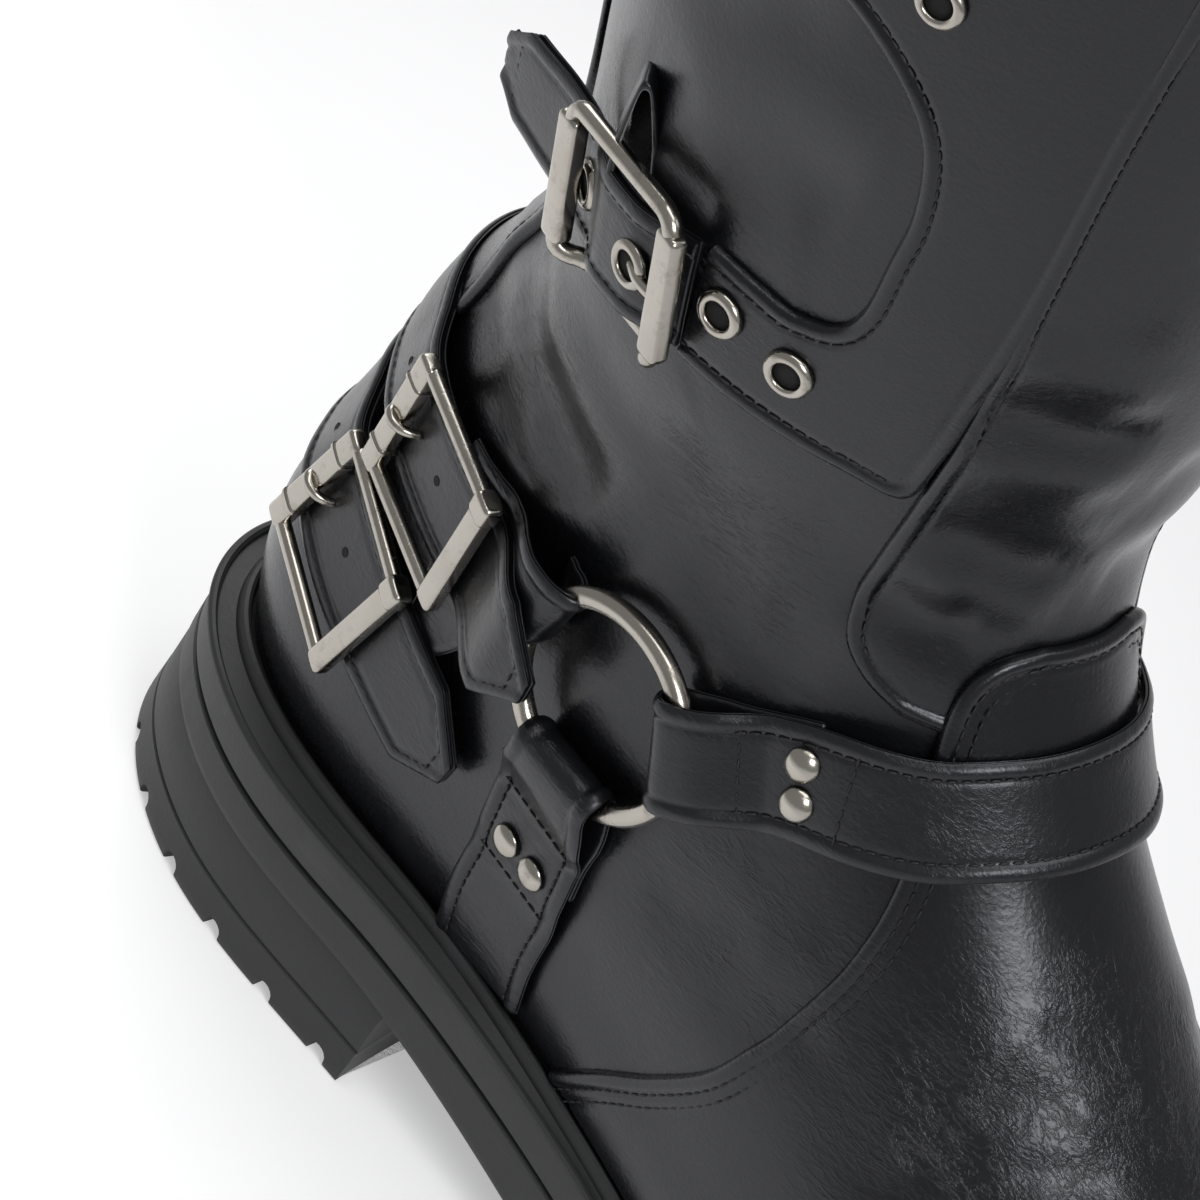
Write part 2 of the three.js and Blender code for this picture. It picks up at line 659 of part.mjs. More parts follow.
// Where a line of a route, some way across it, passes over the ring's wire: distance along it and the wire's lift.
// direction is 1 where the route leaves the ring and -1 where it comes to it
function wireOn(route, side, direction, across) {
  const { centre, ahead, upward } = ringFrame(side);
  const inPlane = (distance) => {
    const off = placeOn(route, distance, across, 0).sub(centre);
    return new THREE.Vector2(off.dot(ahead), off.dot(upward));
  };
  let near = direction > 0 ? 0 : route.length;
  let far = near + direction * 40;
  for (let pass = 0; pass < 22; pass += 1) {
    const middle = (near + far) / 2;
    if (inPlane(middle).length() < RING_RADIUS) near = middle;
    else far = middle;
  }
  const flat = inPlane(near).setLength(RING_RADIUS);
  const point = centre.clone().addScaledVector(ahead, flat.x).addScaledVector(upward, flat.y);
  const base = placeOn(route, near, across, 0);
  const normal = placeOn(route, near, across, 1).sub(base);
  return { distance: near, lift: point.sub(base).dot(normal), direction, side };
}

function distanceTo(route, point) {
  let best = [0, Infinity];
  for (let k = 0; k <= 240; k += 1) {
    const off = skin(...route.at(route.length * k / 240)).distanceTo(point);
    if (off < best[1]) best = [route.length * k / 240, off];
  }
  return best[0];
}

const FOLD = RING_WIRE + 0.6 + STRAP / 2;    // from the wire's middle to the middle of the leather round it
const UNDER = GAP + STRAP / 2;               // lift of the turned-under layer
const OVER = UNDER + STRAP + 0.3;            // lift of the layer over it
const TURN_UNDER = 22;                       // length of the turned-under layer

// Middle line of a strap that goes round the wire and back under itself, ending with its outer layer
function foldRound(wire) {
  const { direction } = wire;
  const at = (ahead, rise) => [wire.distance + direction * ahead, Math.max(wire.lift + rise, UNDER)];
  return [
    [wire.distance + direction * TURN_UNDER, UNDER],
    [wire.distance + direction * TURN_UNDER * 0.6, UNDER],
    [wire.distance + direction * 6, UNDER],
    at(0, -FOLD),
    at(-0.71 * FOLD, -0.71 * FOLD),
    at(-FOLD, 0),
    at(-0.71 * FOLD, 0.71 * FOLD),
    at(0, FOLD),
    at(0.6 * FOLD, 0.8 * FOLD),
    [wire.distance + direction * 9, OVER],
  ];
}

// The wire is round, so a strap's fold follows it from edge to edge
function followWire(route, wires) {
  const known = new Map();
  const wireAt = (wire, across) => {
    const key = `${wire.side} ${across.toFixed(3)}`;
    if (!known.has(key)) known.set(key, wireOn(route, wire.side, wire.direction, across));
    return known.get(key);
  };
  return (distance, across, lift) => {
    for (const wire of wires) {
      const past = wire.direction * (distance - wire.distance);
      if (past > 18) continue;
      const here = wireAt(wire, across);
      const slope = wireAt(wire, across + 0.5).distance - wireAt(wire, across - 0.5).distance;
      const stretch = Math.sqrt(1 + slope ** 2) - 1;
      const fade = 1 - smooth((past - 4) / 13);
      const along = (here.distance - wire.distance) * fade + wire.direction * past * stretch * (1 - smooth((past - 2) / 5));
      const raised = lift + (here.lift - wire.lift) * (1 - smooth((past - 3) / 6));
      return [along, Math.max(raised, Math.min(lift, GAP + STRAP))];
    }
    return [0, lift];
  };
}

const STRAP_HALF = 10;
const SEATED = 0.3;           // a rivet, an eyelet or a prong above what it is seated on

// Instep strap: from the outer ring over the vamp to the inner ring; spots of its outer half
const INSTEP_SPOTS = [[73, 6.55], [58, 6.95], [40, 7.2], [22, 7.42]];

const FOLD_REACH = 13;          // from a ring's wire to where a strap lies flat again
const RIVETS_FROM_WIRE = 17;

function addInstepStrap() {
  const outer = [spotAt(RING_X + 5, RING_Z + 1, 1), ...INSTEP_SPOTS.map(([turn, v]) => [radians(turn), v])];
  const route = routeOver([...outer, [0, 7.52], ...outer.map(([angle, v]) => [-angle, v]).reverse()]);
  const start = wireOn(route, 1, 1, 0);
  const end = wireOn(route, -1, -1, 0);
  const crown = 4.6;
  const rise = (distance) => {
    const near = Math.min(distance - start.distance, end.distance - distance);
    return mix(OVER, crown, smooth((near - 16) / 16));
  };
  const steps = 15;
  const from = start.distance + FOLD_REACH;
  const to = end.distance - FOLD_REACH;
  const middle = Array.from({ length: steps + 1 }, (unused, k) => mix(from, to, k / steps));
  const line = [...foldRound(start), ...middle.map((d) => [d, rise(d)]), ...foldRound(end).reverse()];
  const strap = makeStrip(route, layerOutline(line, STRAP), () => STRAP_HALF, followWire(route, [start, end]));
  addNode('instep_strap', cleared(strap, [1, -1]), 'strap');
  const across = 3.4;
  const onOuter = start.distance + RIVETS_FROM_WIRE;
  const onInner = end.distance - RIVETS_FROM_WIRE;
  addRivets('instep_outer', route, [[onOuter, -across], [onOuter, across]], OVER + STRAP / 2 + SEATED);
  addRivets('instep_inner', route, [[onInner, -across], [onInner, across]], OVER + STRAP / 2 + SEATED);
}

function soleStrapRoute(side) {
  const spots = [[RING_X, 97], [RING_X, 87], [51, 74], [50.5, 58], [50.5, soleTop(50.5) + 2.6]];
  return routeOver(spots.map(([x, z]) => spotAt(x, z, side)));
}

function addSoleStrap(label, side) {
  const route = soleStrapRoute(side);
  const wire = wireOn(route, side, 1, 0);
  const far = [13, 19, 25, 31].map((ahead) => wire.distance + ahead).filter((d) => d < route.length - 3);
  const rise = (distance) => mix(OVER, UNDER + 0.4, smooth((distance - wire.distance - 23) / 10));
  const line = [...foldRound(wire), ...[...far, route.length].map((d) => [d, rise(d)])];
  const strap = makeStrip(route, layerOutline(line, STRAP), () => STRAP_HALF, followWire(route, [wire]));
  addNode(`sole_strap_${label}`, strap, 'strap');
  const rivetAt = wire.distance + 20;
  addRivets(`sole_${label}`, route, [[rivetAt, -3.6], [rivetAt, 3.6]], OVER + STRAP / 2 + SEATED);
}

// Yoke: looped on the ring, widening to the back under both heel straps
function yokeRoute(side) {
  const spots = [[47, 113], [38.5, 115], [30, 108.5], [19, 99], [6, 94]];
  return routeOver(spots.map(([x, z]) => spotAt(x, z, side)));
}

function makeYoke(side) {
  const route = yokeRoute(side);
  const wire = wireOn(route, side, 1, 0);
  const half = (distance) => curve([0, 8, 17, 32], [5, 9, 16, 21], distance - wire.distance);
  const fold = foldRound(wire);
  fold[0] = [wire.distance + 8, UNDER];
  fold[1] = [wire.distance + 7, UNDER];
  const down = [10.5, 14, 24].map((ahead) => [wire.distance + ahead, mix(OVER, UNDER, smooth((ahead - 8) / 6))]);
  const line = [...fold, ...down, [route.length, UNDER]];
  return cleared(makeStrip(route, layerOutline(line, STRAP), half, followWire(route, [wire]), 3), [side]);
}

// Heel straps: from a pointed tip on the outer side round the back to the inner side
const HEEL_STRAPS = {
  lower: { tip: [31, 66], keeper: [4, 73], rest: [-19, 79.5], back: 87.5, tipRise: 0 },
  upper: { tip: [43, 102.5], keeper: [16, 104], rest: [-9, 107.3], back: 115, tipRise: 7.1 },
};
const HEEL_STRAP_LIFT = GAP + STRAP + 0.4;
const HEEL_STRAP_THICK = 2;
const HEEL_STRAP_HALF = 10.5;

function heelStrapRoute({ tip, keeper, rest, back }) {
  return routeOver([
    spotAt(...tip, 1), spotAt(...keeper, 1), spotAt(...rest, 1), spotUp(180, back),
    ...[rest, keeper].map(([x, z]) => spotAt(x, z, -1)).map(([angle, v]) => [2 * Math.PI + angle, v]),
  ]);
}

function makeHeelStrap(sizes) {
  const route = heelStrapRoute(sizes);
  const rest = distanceTo(route, skin(...spotAt(...sizes.rest, 1)));
  const lift = (d) => {
    const near = Math.min(d - rest, route.length - 26 - d);
    return HEEL_STRAP_LIFT + sizes.tipRise * (1 - smooth((d - 8) / 18)) - 1.3 * smooth((near - 4) / 12);
  };
  const steps = 16;
  const places = [0, 4, 9, ...Array.from({ length: steps }, (unused, k) => mix(14, route.length, k / (steps - 1)))];
  const outline = [
    ...places.map((d) => [d, lift(d)]),
    ...places.map((d) => [d, lift(d) + HEEL_STRAP_THICK]).reverse(),
  ];
  const full = (d) => HEEL_STRAP_HALF + 1.6 * smooth(Math.min(d - rest - 4, route.length - d) / 14);
  return makeStrip(route, outline, (d) => Math.min(full(d), 2.5 + 0.85 * d));
}

// Bars and wires of the buckles
function rod(from, to, radius, sides = 6) {
  const length = from.distanceTo(to);
  const cylinder = new THREE.CylinderGeometry(radius, radius, length, sides);
  const turn = new THREE.Quaternion().setFromUnitVectors(
    new THREE.Vector3(0, 1, 0),
    to.clone().sub(from).normalize(),
  );
  const middle = from.clone().add(to).multiplyScalar(0.5);
  return cylinder.applyMatrix4(new THREE.Matrix4().compose(middle, turn, new THREE.Vector3(1, 1, 1)));
}

function plate(centre, long, wide, normal, sizes) {
  const box = new THREE.BoxGeometry(...sizes);
  return box.applyMatrix4(new THREE.Matrix4().makeBasis(long, wide, normal).setPosition(centre));
}

// A frame of two flat bars joined by two side wires
function buckleFrame(first, second, normal, { bar, reach, wire }) {
  const long = second.clone().sub(first);
  const length = long.length();
  long.normalize();
  const wide = normal.clone().cross(long).normalize();
  const out = long.clone().cross(wide).normalize();
  const ends = [-reach, reach].map((offset) => [first, second].map((p) => p.clone().addScaledVector(wide, offset)));
  const barSizes = [2 * (reach + wire), bar, 3.1];
  const bars = [first, second].map((p) => plate(p, wide, long.clone().negate(), out, barSizes));
  const sideWires = ends.map(([a, b]) => rod(a, b, wire));
  return { geometry: joined([...bars, ...sideWires]), long, wide, out, length };
}

const HEEL_FRAME = { bar: 4.6, reach: 12.5, wire: 1.4 };
const SHAFT_FRAME = { bar: 5.2, reach: 15.1, wire: 1.6 };

function addHeelBuckle(label, sizes) {
  const lift = HEEL_STRAP_LIFT + HEEL_STRAP_THICK + 0.8 + 1.5;
  const rest = lifted(...spotAt(...sizes.rest, 1), lift);
  const keeper = lifted(...spotAt(...sizes.keeper, 1), lift);
  const halfway = [0, 1].map((k) => (sizes.rest[k] + sizes.keeper[k]) / 2);
  const normal = tangents(...spotAt(...halfway, 1)).normal;
  const frame = buckleFrame(rest, keeper, normal, HEEL_FRAME);
  addNode(`heel_buckle_${label}_frame`, frame.geometry, 'metal');
  const nose = rest.clone().addScaledVector(frame.long, -1).addScaledVector(frame.out, 3.2);
  const heelOfProng = rest.clone().addScaledVector(frame.long, 6.2).addScaledVector(frame.out, 2.6);
  addNode(`heel_buckle_${label}_prong`, rod(nose, heelOfProng, 1.2), 'metal');
}

// Free end of the lower shaft strap: under the buckle's two sleeves, then straight out behind
const SHAFT_STRAP_THICK = 2;
const SHAFT_ROUTE = [[FREE_FROM + 1.4, 190], [100, 188.5], [112, 186.5], [121, 184.5], [134, 184], [147, 185]];

const SHAFT_SEAT = 0.2;             // play under the free strap
const SHAFT_BULGE = 1.4;            // how far it stands off inside the frame
const LEAVES_AT = [120, 184.7];     // degrees round and height where it leaves the leg
const FRAME_FRONT = [91, 190];      // the frame's front bar
const FRAME_BACK = [119, 185];      // the frame's back bar
const FRAME_OVER = 2.3;             // from the strap's face to the middle of the bars
const PRONG_HOLE = [102.5, 188];
const COVERED_HOLE = [118.5, 185];

const shaftStrapRoute = () => routeOver(SHAFT_ROUTE.map(([turn, z]) => spotUp(turn, z)));
const shaftUpward = (route) => Math.sign(placeOn(route, 10, 5, 0).z - placeOn(route, 10, -5, 0).z);

const leavePlace = (route) => distanceTo(route, skin(...spotUp(...LEAVES_AT)));

function shaftStrapLift(distance, leave) {
  const bulge = SHAFT_BULGE * smooth(distance / 12) * (1 - smooth((distance - leave + 12) / 10));
  return GAP + SHAFT_SEAT + bulge + 0.021 * Math.max(distance - leave, 0) ** 2;
}

function makeShaftStrapTip() {
  const route = shaftStrapRoute();
  const leave = leavePlace(route);
  const lift = (d) => shaftStrapLift(d, leave);
  const end = Math.min(route.length, leave + 24);
  const places = Array.from({ length: 15 }, (unused, k) => mix(0, end, k / 14));
  const outline = [...places.map((d) => [d, lift(d)]), ...places.map((d) => [d, lift(d) + SHAFT_STRAP_THICK]).reverse()];
  return makeStrip(route, outline, (d) => Math.min(STRAP_HALF, 5 + 1.2 * (end - d)));
}

function shaftFrame() {
  const lift = GAP + SHAFT_SEAT + SHAFT_STRAP_THICK + SHAFT_BULGE + FRAME_OVER;
  const middle = FRAME_FRONT.map((value, k) => (value + FRAME_BACK[k]) / 2);
  const front = lifted(...spotUp(...FRAME_FRONT), lift);
  const back = lifted(...spotUp(...FRAME_BACK), lift);
  return { front, back, normal: tangents(...spotUp(...middle)).normal };
}

function addShaftBuckle() {
  const { front, back, normal } = shaftFrame();
  const frame = buckleFrame(front, back, normal, SHAFT_FRAME);
  addNode('shaft_buckle_frame', frame.geometry, 'metal');
  const route = shaftStrapRoute();
  const top = (d) => shaftStrapLift(d, leavePlace(route)) + SHAFT_STRAP_THICK + SEATED;
  const pronged = distanceTo(route, skin(...spotUp(...PRONG_HOLE)));
  const covered = distanceTo(route, skin(...spotUp(...COVERED_HOLE)));
  [pronged, covered].forEach((d, k) => addEyelet(k + 4, placeOn(route, d, 0, top(d)), routeNormal(route, d, 0)));
  const nose = front.clone().addScaledVector(frame.long, 1).addScaledVector(frame.out, 3.5);
  addNode('shaft_buckle_prong', rod(nose, placeOn(route, pronged, 0, top(pronged) + 1.5), 1.2), 'metal');
}

// Keeper: a loose teardrop loop of leather that stands on edge round the frame's upper wire
const KEEPER_TALL = 24;
const KEEPER_DEEP = 12;
const KEEPER_LONG = 9;
const KEEPER_WALL = 1.5;

function makeKeeper() {
  const prism = (inset, from, to) => {
    const shape = new THREE.Shape();
    const count = 16;
    for (let k = 0; k < count; k += 1) {
      const turn = 2 * Math.PI * k / count;
      const narrow = 1 - 0.55 * smooth((1 + Math.sin(turn)) / 2);
      const x = (KEEPER_DEEP / 2 - inset) * Math.sign(Math.cos(turn)) * Math.abs(Math.cos(turn)) ** 0.6 * narrow;
      const rise = Math.sin(turn);
      const y = (KEEPER_TALL / 2 - inset) * (rise < 0 ? -(Math.abs(rise) ** 0.6) : rise);
      if (k === 0) shape.moveTo(x, y);
      else shape.lineTo(x, y);
    }
    const solid = new THREE.ExtrudeGeometry(shape, { depth: to - from, bevelEnabled: false });
    return solid.translate(0, 0, from);
  };
  const solid = without(prism(0, 0, KEEPER_LONG), [prism(KEEPER_WALL, -1, KEEPER_LONG + 1)]);
  const { front, back, normal } = shaftFrame();
  const long = back.clone().sub(front).normalize();
  const upward = normal.clone().cross(long).normalize();
  if (upward.z < 0) upward.negate();
  const outward = upward.clone().cross(long).normalize();
  if (outward.dot(normal) < 0) outward.negate();
  const depth = outward.clone().cross(upward);
  const hook = back.clone().lerp(front, 0.34).addScaledVector(upward, SHAFT_FRAME.reach);
  const centre = hook
    .addScaledVector(upward, KEEPER_TALL / 2 - KEEPER_WALL - SHAFT_FRAME.wire - 1.5)
    .addScaledVector(outward, 2)
    .addScaledVector(depth, -KEEPER_LONG / 2);
  return solid.applyMatrix4(new THREE.Matrix4().makeBasis(outward, upward, depth).setPosition(centre));
}

// Rivets and eyelets, seated on a place of a route or of the form
function seatOn(geometry, point, normal) {
  const turn = new THREE.Quaternion().setFromUnitVectors(new THREE.Vector3(0, 1, 0), normal);
  return geometry.applyMatrix4(new THREE.Matrix4().compose(point, turn, new THREE.Vector3(1, 1, 1)));
}

function domeProfile() {
  const sizes = [[0, 0], [RIVET, 0], [RIVET, 0.5], [0.72 * RIVET, 1.3], [0, 1.7]];
  return sizes.map(([radius, height]) => new THREE.Vector2(radius, height));
}

function routeNormal(route, distance, across) {
  const here = placeOn(route, distance, across, 0);
  return placeOn(route, distance, across, 5).sub(here).normalize();
}

function addRivets(label, route, places, lift) {
  places.forEach(([ahead, across], k) => {
    const point = placeOn(route, ahead, across, lift);
    const dome = new THREE.LatheGeometry(domeProfile(), 10);
    const seated = seatOn(dome, point, routeNormal(route, ahead, across));
    addNode(`${label}_rivet_${k + 1}`, fromManifold(toManifold(seated)), 'metal');
  });
}

function addEyelet(number, point, normal) {
  const crown = 0.5 * (EYELET + EYELET_HOLE);
  const profile = [[EYELET_HOLE, 0], [EYELET, 0], [EYELET, 0.4], [crown, 1], [EYELET_HOLE, 0.5], [EYELET_HOLE, 0]];
  const ring = new THREE.LatheGeometry(profile.map(([r, h]) => new THREE.Vector2(r, h)), 10);
  addNode(`eyelet_${number}`, fromManifold(toManifold(seatOn(ring, point, normal))), 'metal');
}

addNode('outsole', makeOutsole(), 'rubber');
addNode('insole', makeInsole(), 'lining');
addNode('upper', makeUpper(), 'leather');
addNode('vamp_overlay', makeVamp(), 'leather');
addNode('front_panel', makeFrontPanel(), 'leather');
addNode('side_panel', makeSidePanel(), 'leather');
addNode('back_stay', makeBackStay(), 'leather');
addInstepStrap();
for (const [label, side] of [['outer', 1], ['inner', -1]]) {
  addNode(`ring_${label}`, makeRing(side), 'metal');
  addSoleStrap(label, side);
  addNode(`yoke_${label}`, makeYoke(side), 'strap');
}
for (const [label, sizes] of Object.entries(HEEL_STRAPS)) {
  addNode(`heel_strap_${label}`, makeHeelStrap(sizes), 'strap');
  addHeelBuckle(label, sizes);
}
addNode('shaft_strap_tip', makeShaftStrapTip(), 'strap');
addShaftBuckle();
addNode('keeper_loop', makeKeeper(), 'strap');

// Eyelets of the side panel: degrees round and height
const EYELETS = [[71, 191], [84, 192], [73, 266.5]];
EYELETS.forEach(([turn, z], k) => {
  const [angle, v] = spotUp(turn, z);
  addEyelet(k + 1, lifted(angle, v, GAP + OVERLAY + SEATED), tangents(angle, v).normal);
});

export default boot;
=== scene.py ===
"""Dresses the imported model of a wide-calf harness boot, right foot, as leather, rubber and metal."""
import math

import bpy
import numpy as np
from mathutils import Matrix, Vector
from mathutils.kdtree import KDTree


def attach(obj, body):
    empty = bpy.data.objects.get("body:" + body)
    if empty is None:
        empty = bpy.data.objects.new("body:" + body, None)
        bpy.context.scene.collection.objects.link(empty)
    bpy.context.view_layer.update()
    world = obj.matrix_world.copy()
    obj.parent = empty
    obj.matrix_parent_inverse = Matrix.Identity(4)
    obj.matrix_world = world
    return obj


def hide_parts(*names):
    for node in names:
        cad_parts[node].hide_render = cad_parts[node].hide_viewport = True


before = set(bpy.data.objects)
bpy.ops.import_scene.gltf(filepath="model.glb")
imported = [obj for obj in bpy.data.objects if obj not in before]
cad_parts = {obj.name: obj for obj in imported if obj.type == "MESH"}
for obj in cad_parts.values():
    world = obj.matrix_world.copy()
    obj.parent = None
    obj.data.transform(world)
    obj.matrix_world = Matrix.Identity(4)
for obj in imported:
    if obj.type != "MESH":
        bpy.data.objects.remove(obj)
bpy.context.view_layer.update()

bl_info = {
    "name": "Harness boot dressing",
    "version": (1, 0, 0),
    "blender": (4, 5, 0),
    "location": "View3D > Sidebar > Boot",
    "description": "Builds the leather, sole, straps, buckles and stitches of a boot over its packed model",
    "category": "Object",
}

MM = 0.001

# Sizes of the form in millimetres, as in the CAD source
LENGTH = 273
BALL = 100
RISE = 313.5
HEEL_BLOCK = 18
PLATFORM = 18.5
PLATFORM_GAIN = 3.5
TOE_SPRING = 8
SOLE_BACK = -46
SOLE_TIP = 246
BREAST = 41.5
WALL = 2.2
GAP = 0.45
OVERLAY = 1.4
STRAP = 1.3
RING_RADIUS = 18
RING_LIFT = 3.9
RING_X = 52
RING_Z = 107
RING_WIRE = 1.9
RIVET = 3.0
EYELET = 4.2
EYELET_HOLE = 2.4
SEATED = 0.3
STRAP_HALF = 10
FOLD = RING_WIRE + 0.6 + STRAP / 2
UNDER = GAP + STRAP / 2
OVER = UNDER + STRAP + 0.3
TURN_UNDER = 22

STATIONS = [0, 0.12, 0.28, 0.45, 0.7, 0.88, 1]
SECTIONS = """
  name     keep  low    high   back    front  heel  seat  waist arch  ball  toe   tip   swing
  feather  1.00  0.000  0.000  -0.136  0.864  0.56  0.45  0.35  0.34  0.47  0.58  0.68  0.060
  rand     0.90  0.040  0.036  -0.150  0.875  0.57  0.46  0.37  0.36  0.49  0.60  0.69  0.060
  bump     0.75  0.081  0.070  -0.151  0.868  0.57  0.46  0.38  0.37  0.48  0.58  0.66  0.060
  toetop   0.50  0.123  0.098  -0.136  0.817  0.54  0.45  0.39  0.38  0.44  0.51  0.57  0.050
  vamp     0.30  0.164  0.128  -0.124  0.714  0.50  0.43  0.39  0.38  0.40  0.43  0.47  0.035
  bridge   0.15  0.203  0.165  -0.116  0.612  0.46  0.41  0.39  0.38  0.38  0.39  0.41  0.020
  instep   0.05  0.244  0.214  -0.110  0.524  0.43  0.40  0.38  0.38  0.37  0.37  0.38  0.010
  bend     0.00  0.285  0.273  -0.097  0.441  0.41  0.40  0.38  0.38  0.37  0.36  0.36  0.000
  throat   0.00  0.327  0.333  -0.080  0.383  0.42  0.41  0.40  0.39  0.38  0.37  0.37  0.000
  ankle    0.00  0.378  0.394  -0.060  0.348  0.45  0.45  0.45  0.44  0.43  0.42  0.42  0.000
  shaft1   0.00  0.451  0.458  -0.066  0.348  0.50  0.50  0.50  0.50  0.49  0.48  0.48  0.000
  shaft2   0.00  0.534  0.537  -0.088  0.359  0.54  0.54  0.54  0.54  0.53  0.53  0.52  0.000
  shaft3   0.00  0.649  0.649  -0.121  0.374  0.58  0.58  0.58  0.58  0.57  0.57  0.56  0.000
  calf1    0.00  0.772  0.772  -0.147  0.388  0.61  0.61  0.61  0.61  0.60  0.60  0.59  0.000
  calf2    0.00  0.890  0.890  -0.162  0.397  0.63  0.63  0.63  0.63  0.62  0.62  0.61  0.000
  collar   0.00  1.000  1.000  -0.170  0.402  0.64  0.64  0.64  0.64  0.63  0.63  0.62  0.000
"""
SOLE_SHARES = [0.64, 0.565, 0.44, 0.40, 0.555, 0.66, 0.76]
SOLE_SWING = 0.06

# Reach of the vamp on each row in degrees from the front
VAMP_REACH = [
    (0.20, 101.5), (1.70, 95), (3.10, 87), (4.50, 73.5), (5.80, 57.5), (6.90, 43), (7.80, 35.5),
    (8.20, 31.5), (8.45, 27), (8.62, 21), (8.72, 13),
]

# Front panel: row, inner edge and outer edge in degrees
FRONT_PANEL = [
    (7.86, -20, 43), (8.02, -27, 49), (8.30, -31, 52), (8.70, -31, 51), (9.20, -30, 48), (9.90, -28, 45.5),
    (10.90, -27, 44.5), (11.70, -27, 46), (12.60, -28, 47.5), (13.80, -28, 48), (15.00, -28, 48),
]

# Outer side panel: it runs round a cut-out; degrees and height of its inner and its outer edge
SIDE_PANEL = [
    ((89, 201), (89, 178)), ((80, 201), (72, 178)), ((74, 201), (58, 178)), ((68, 203.5), (47, 178)),
    ((65.4, 209), (44.5, 190)), ((65, 220), (43.5, 210)), ((65, 231), (43.5, 231)), ((68, 243), (45, 262)),
    ((75, 251), (46.5, 297)), ((87, 256), (64, 288)), ((110, 256), (96, 279)), ((147.5, 256), (147.5, 279)),
]
STAY_EDGE = 148.5

# Soft troughs of the leather: depth and width in millimetres, then spots as degrees from the front and row
CREASES = [
    (1.5, 6.0, [(46, 10.98), (36, 10.95), (26, 10.92), (14, 10.95)]),
    (-0.7, 6.0, [(42, 10.62), (28, 10.60), (10, 10.62)]),
    (1.3, 5.5, [(45, 9.86), (32, 9.74), (20, 9.60), (8, 9.56)]),
    (-0.6, 6.0, [(40, 9.35), (25, 9.24), (8, 9.20)]),
    (1.0, 5.0, [(50, 8.95), (38, 8.78), (27, 8.86)]),
    (0.8, 7.0, [(-22, 10.7), (-8, 10.5), (6, 10.55)]),
    (0.7, 7.0, [(-25, 9.5), (-10, 9.4), (4, 9.35)]),
    (0.9, 8.0, [(30, 12.3), (10, 12.2), (-12, 12.3)]),
    (0.8, 9.0, [(20, 13.7), (-5, 13.6), (-22, 13.9)]),
    (1.3, 8.0, [(137, 8.1), (122, 8.0), (108, 7.7), (98, 7.2)]),
    (-0.7, 7.0, [(130, 8.7), (112, 8.5), (98, 8.0)]),
    (0.9, 7.0, [(157, 7.2), (132, 7.1), (119, 6.7)]),
    (0.8, 9.0, [(96, 9.0), (82, 8.65), (68, 8.25)]),
    (0.7, 7.0, [(82, 8.1), (70, 7.7), (58, 7.4)]),
    (0.7, 6.0, [(94, 4.0), (84, 4.6), (74, 5.1)]),
    (0.6, 6.0, [(88, 3.7), (76, 4.4), (64, 5.0)]),
    (1.0, 9.0, [(92, 11.1), (82, 11.5), (72, 11.5)]),
    (0.9, 10.0, [(120, 12.2), (100, 12.0), (84, 12.4)]),
    (1.1, 11.0, [(134, 10.4), (110, 10.2), (96, 10.5)]),
    (0.9, 10.0, [(130, 14.1), (100, 13.9), (66, 14.2)]),
    (0.5, 4.0, [(46, 5.7), (48, 5.2), (50, 4.6)]),
    (0.5, 4.5, [(42, 5.3), (33, 5.6), (20, 5.66)]),
    (0.5, 4.0, [(39, 5.05), (29, 5.2), (15, 5.3)]),
    (0.4, 4.0, [(25, 6.15), (15, 6.12), (5, 6.2)]),
    (0.5, 5.0, [(20, 4.6), (5, 4.75), (-14, 4.6)]),
    (0.5, 5.0, [(-20, 5.5), (-34, 5.4), (-46, 5.0)]),
    (1.2, 8.0, [(-100, 7.2), (-116, 7.9), (-136, 8.1)]),
    (-0.6, 7.0, [(-98, 8.0), (-114, 8.6), (-132, 8.8)]),
    (0.9, 9.0, [(-60, 8.4), (-80, 8.8), (-98, 9.2)]),
    (1.0, 10.0, [(-60, 10.6), (-86, 10.2), (-118, 10.4)]),
    (0.9, 11.0, [(-50, 12.3), (-84, 12.0), (-120, 12.4)]),
    (0.8, 11.0, [(-70, 13.9), (-100, 14.1), (-140, 13.8)]),
    (1.0, 9.0, [(165, 8.2), (180, 8.0), (195, 8.2)]),
    (0.8, 9.0, [(160, 9.7), (180, 9.5), (200, 9.7)]),
]

# Places of fine crinkles: degrees, row, radius in millimetres, strength
CRINKLES = [
    (48, 5.1, 17, 1.0), (32, 5.5, 17, 1.0), (20, 5.6, 16, 0.8), (14, 6.2, 12, 0.7), (62, 4.4, 16, 0.7),
    (84, 4.5, 18, 0.6), (70, 4.9, 16, 0.5), (38, 10.9, 14, 0.35), (30, 9.7, 14, 0.25), (36, 8.8, 12, 0.1),
    (72, 8.6, 18, 0.35), (5, 4.8, 18, 0.8), (-20, 5.4, 20, 0.9), (-44, 5.0, 18, 0.9), (-70, 4.5, 20, 0.6),
    (25, 4.2, 16, 0.8), (45, 3.9, 14, 0.7), (85, 10.6, 16, 0.3), (-100, 8.0, 22, 0.4), (118, 7.9, 20, 0.35),
]


def length_setting(name, description, default, least):
    return bpy.props.FloatProperty(
        name=name, description=description, default=default, min=least, unit="LENGTH")


def colour_setting(name, description, default):
    return bpy.props.FloatVectorProperty(
        name=name, description=description, default=default, size=3, min=0, max=1, subtype="COLOR")


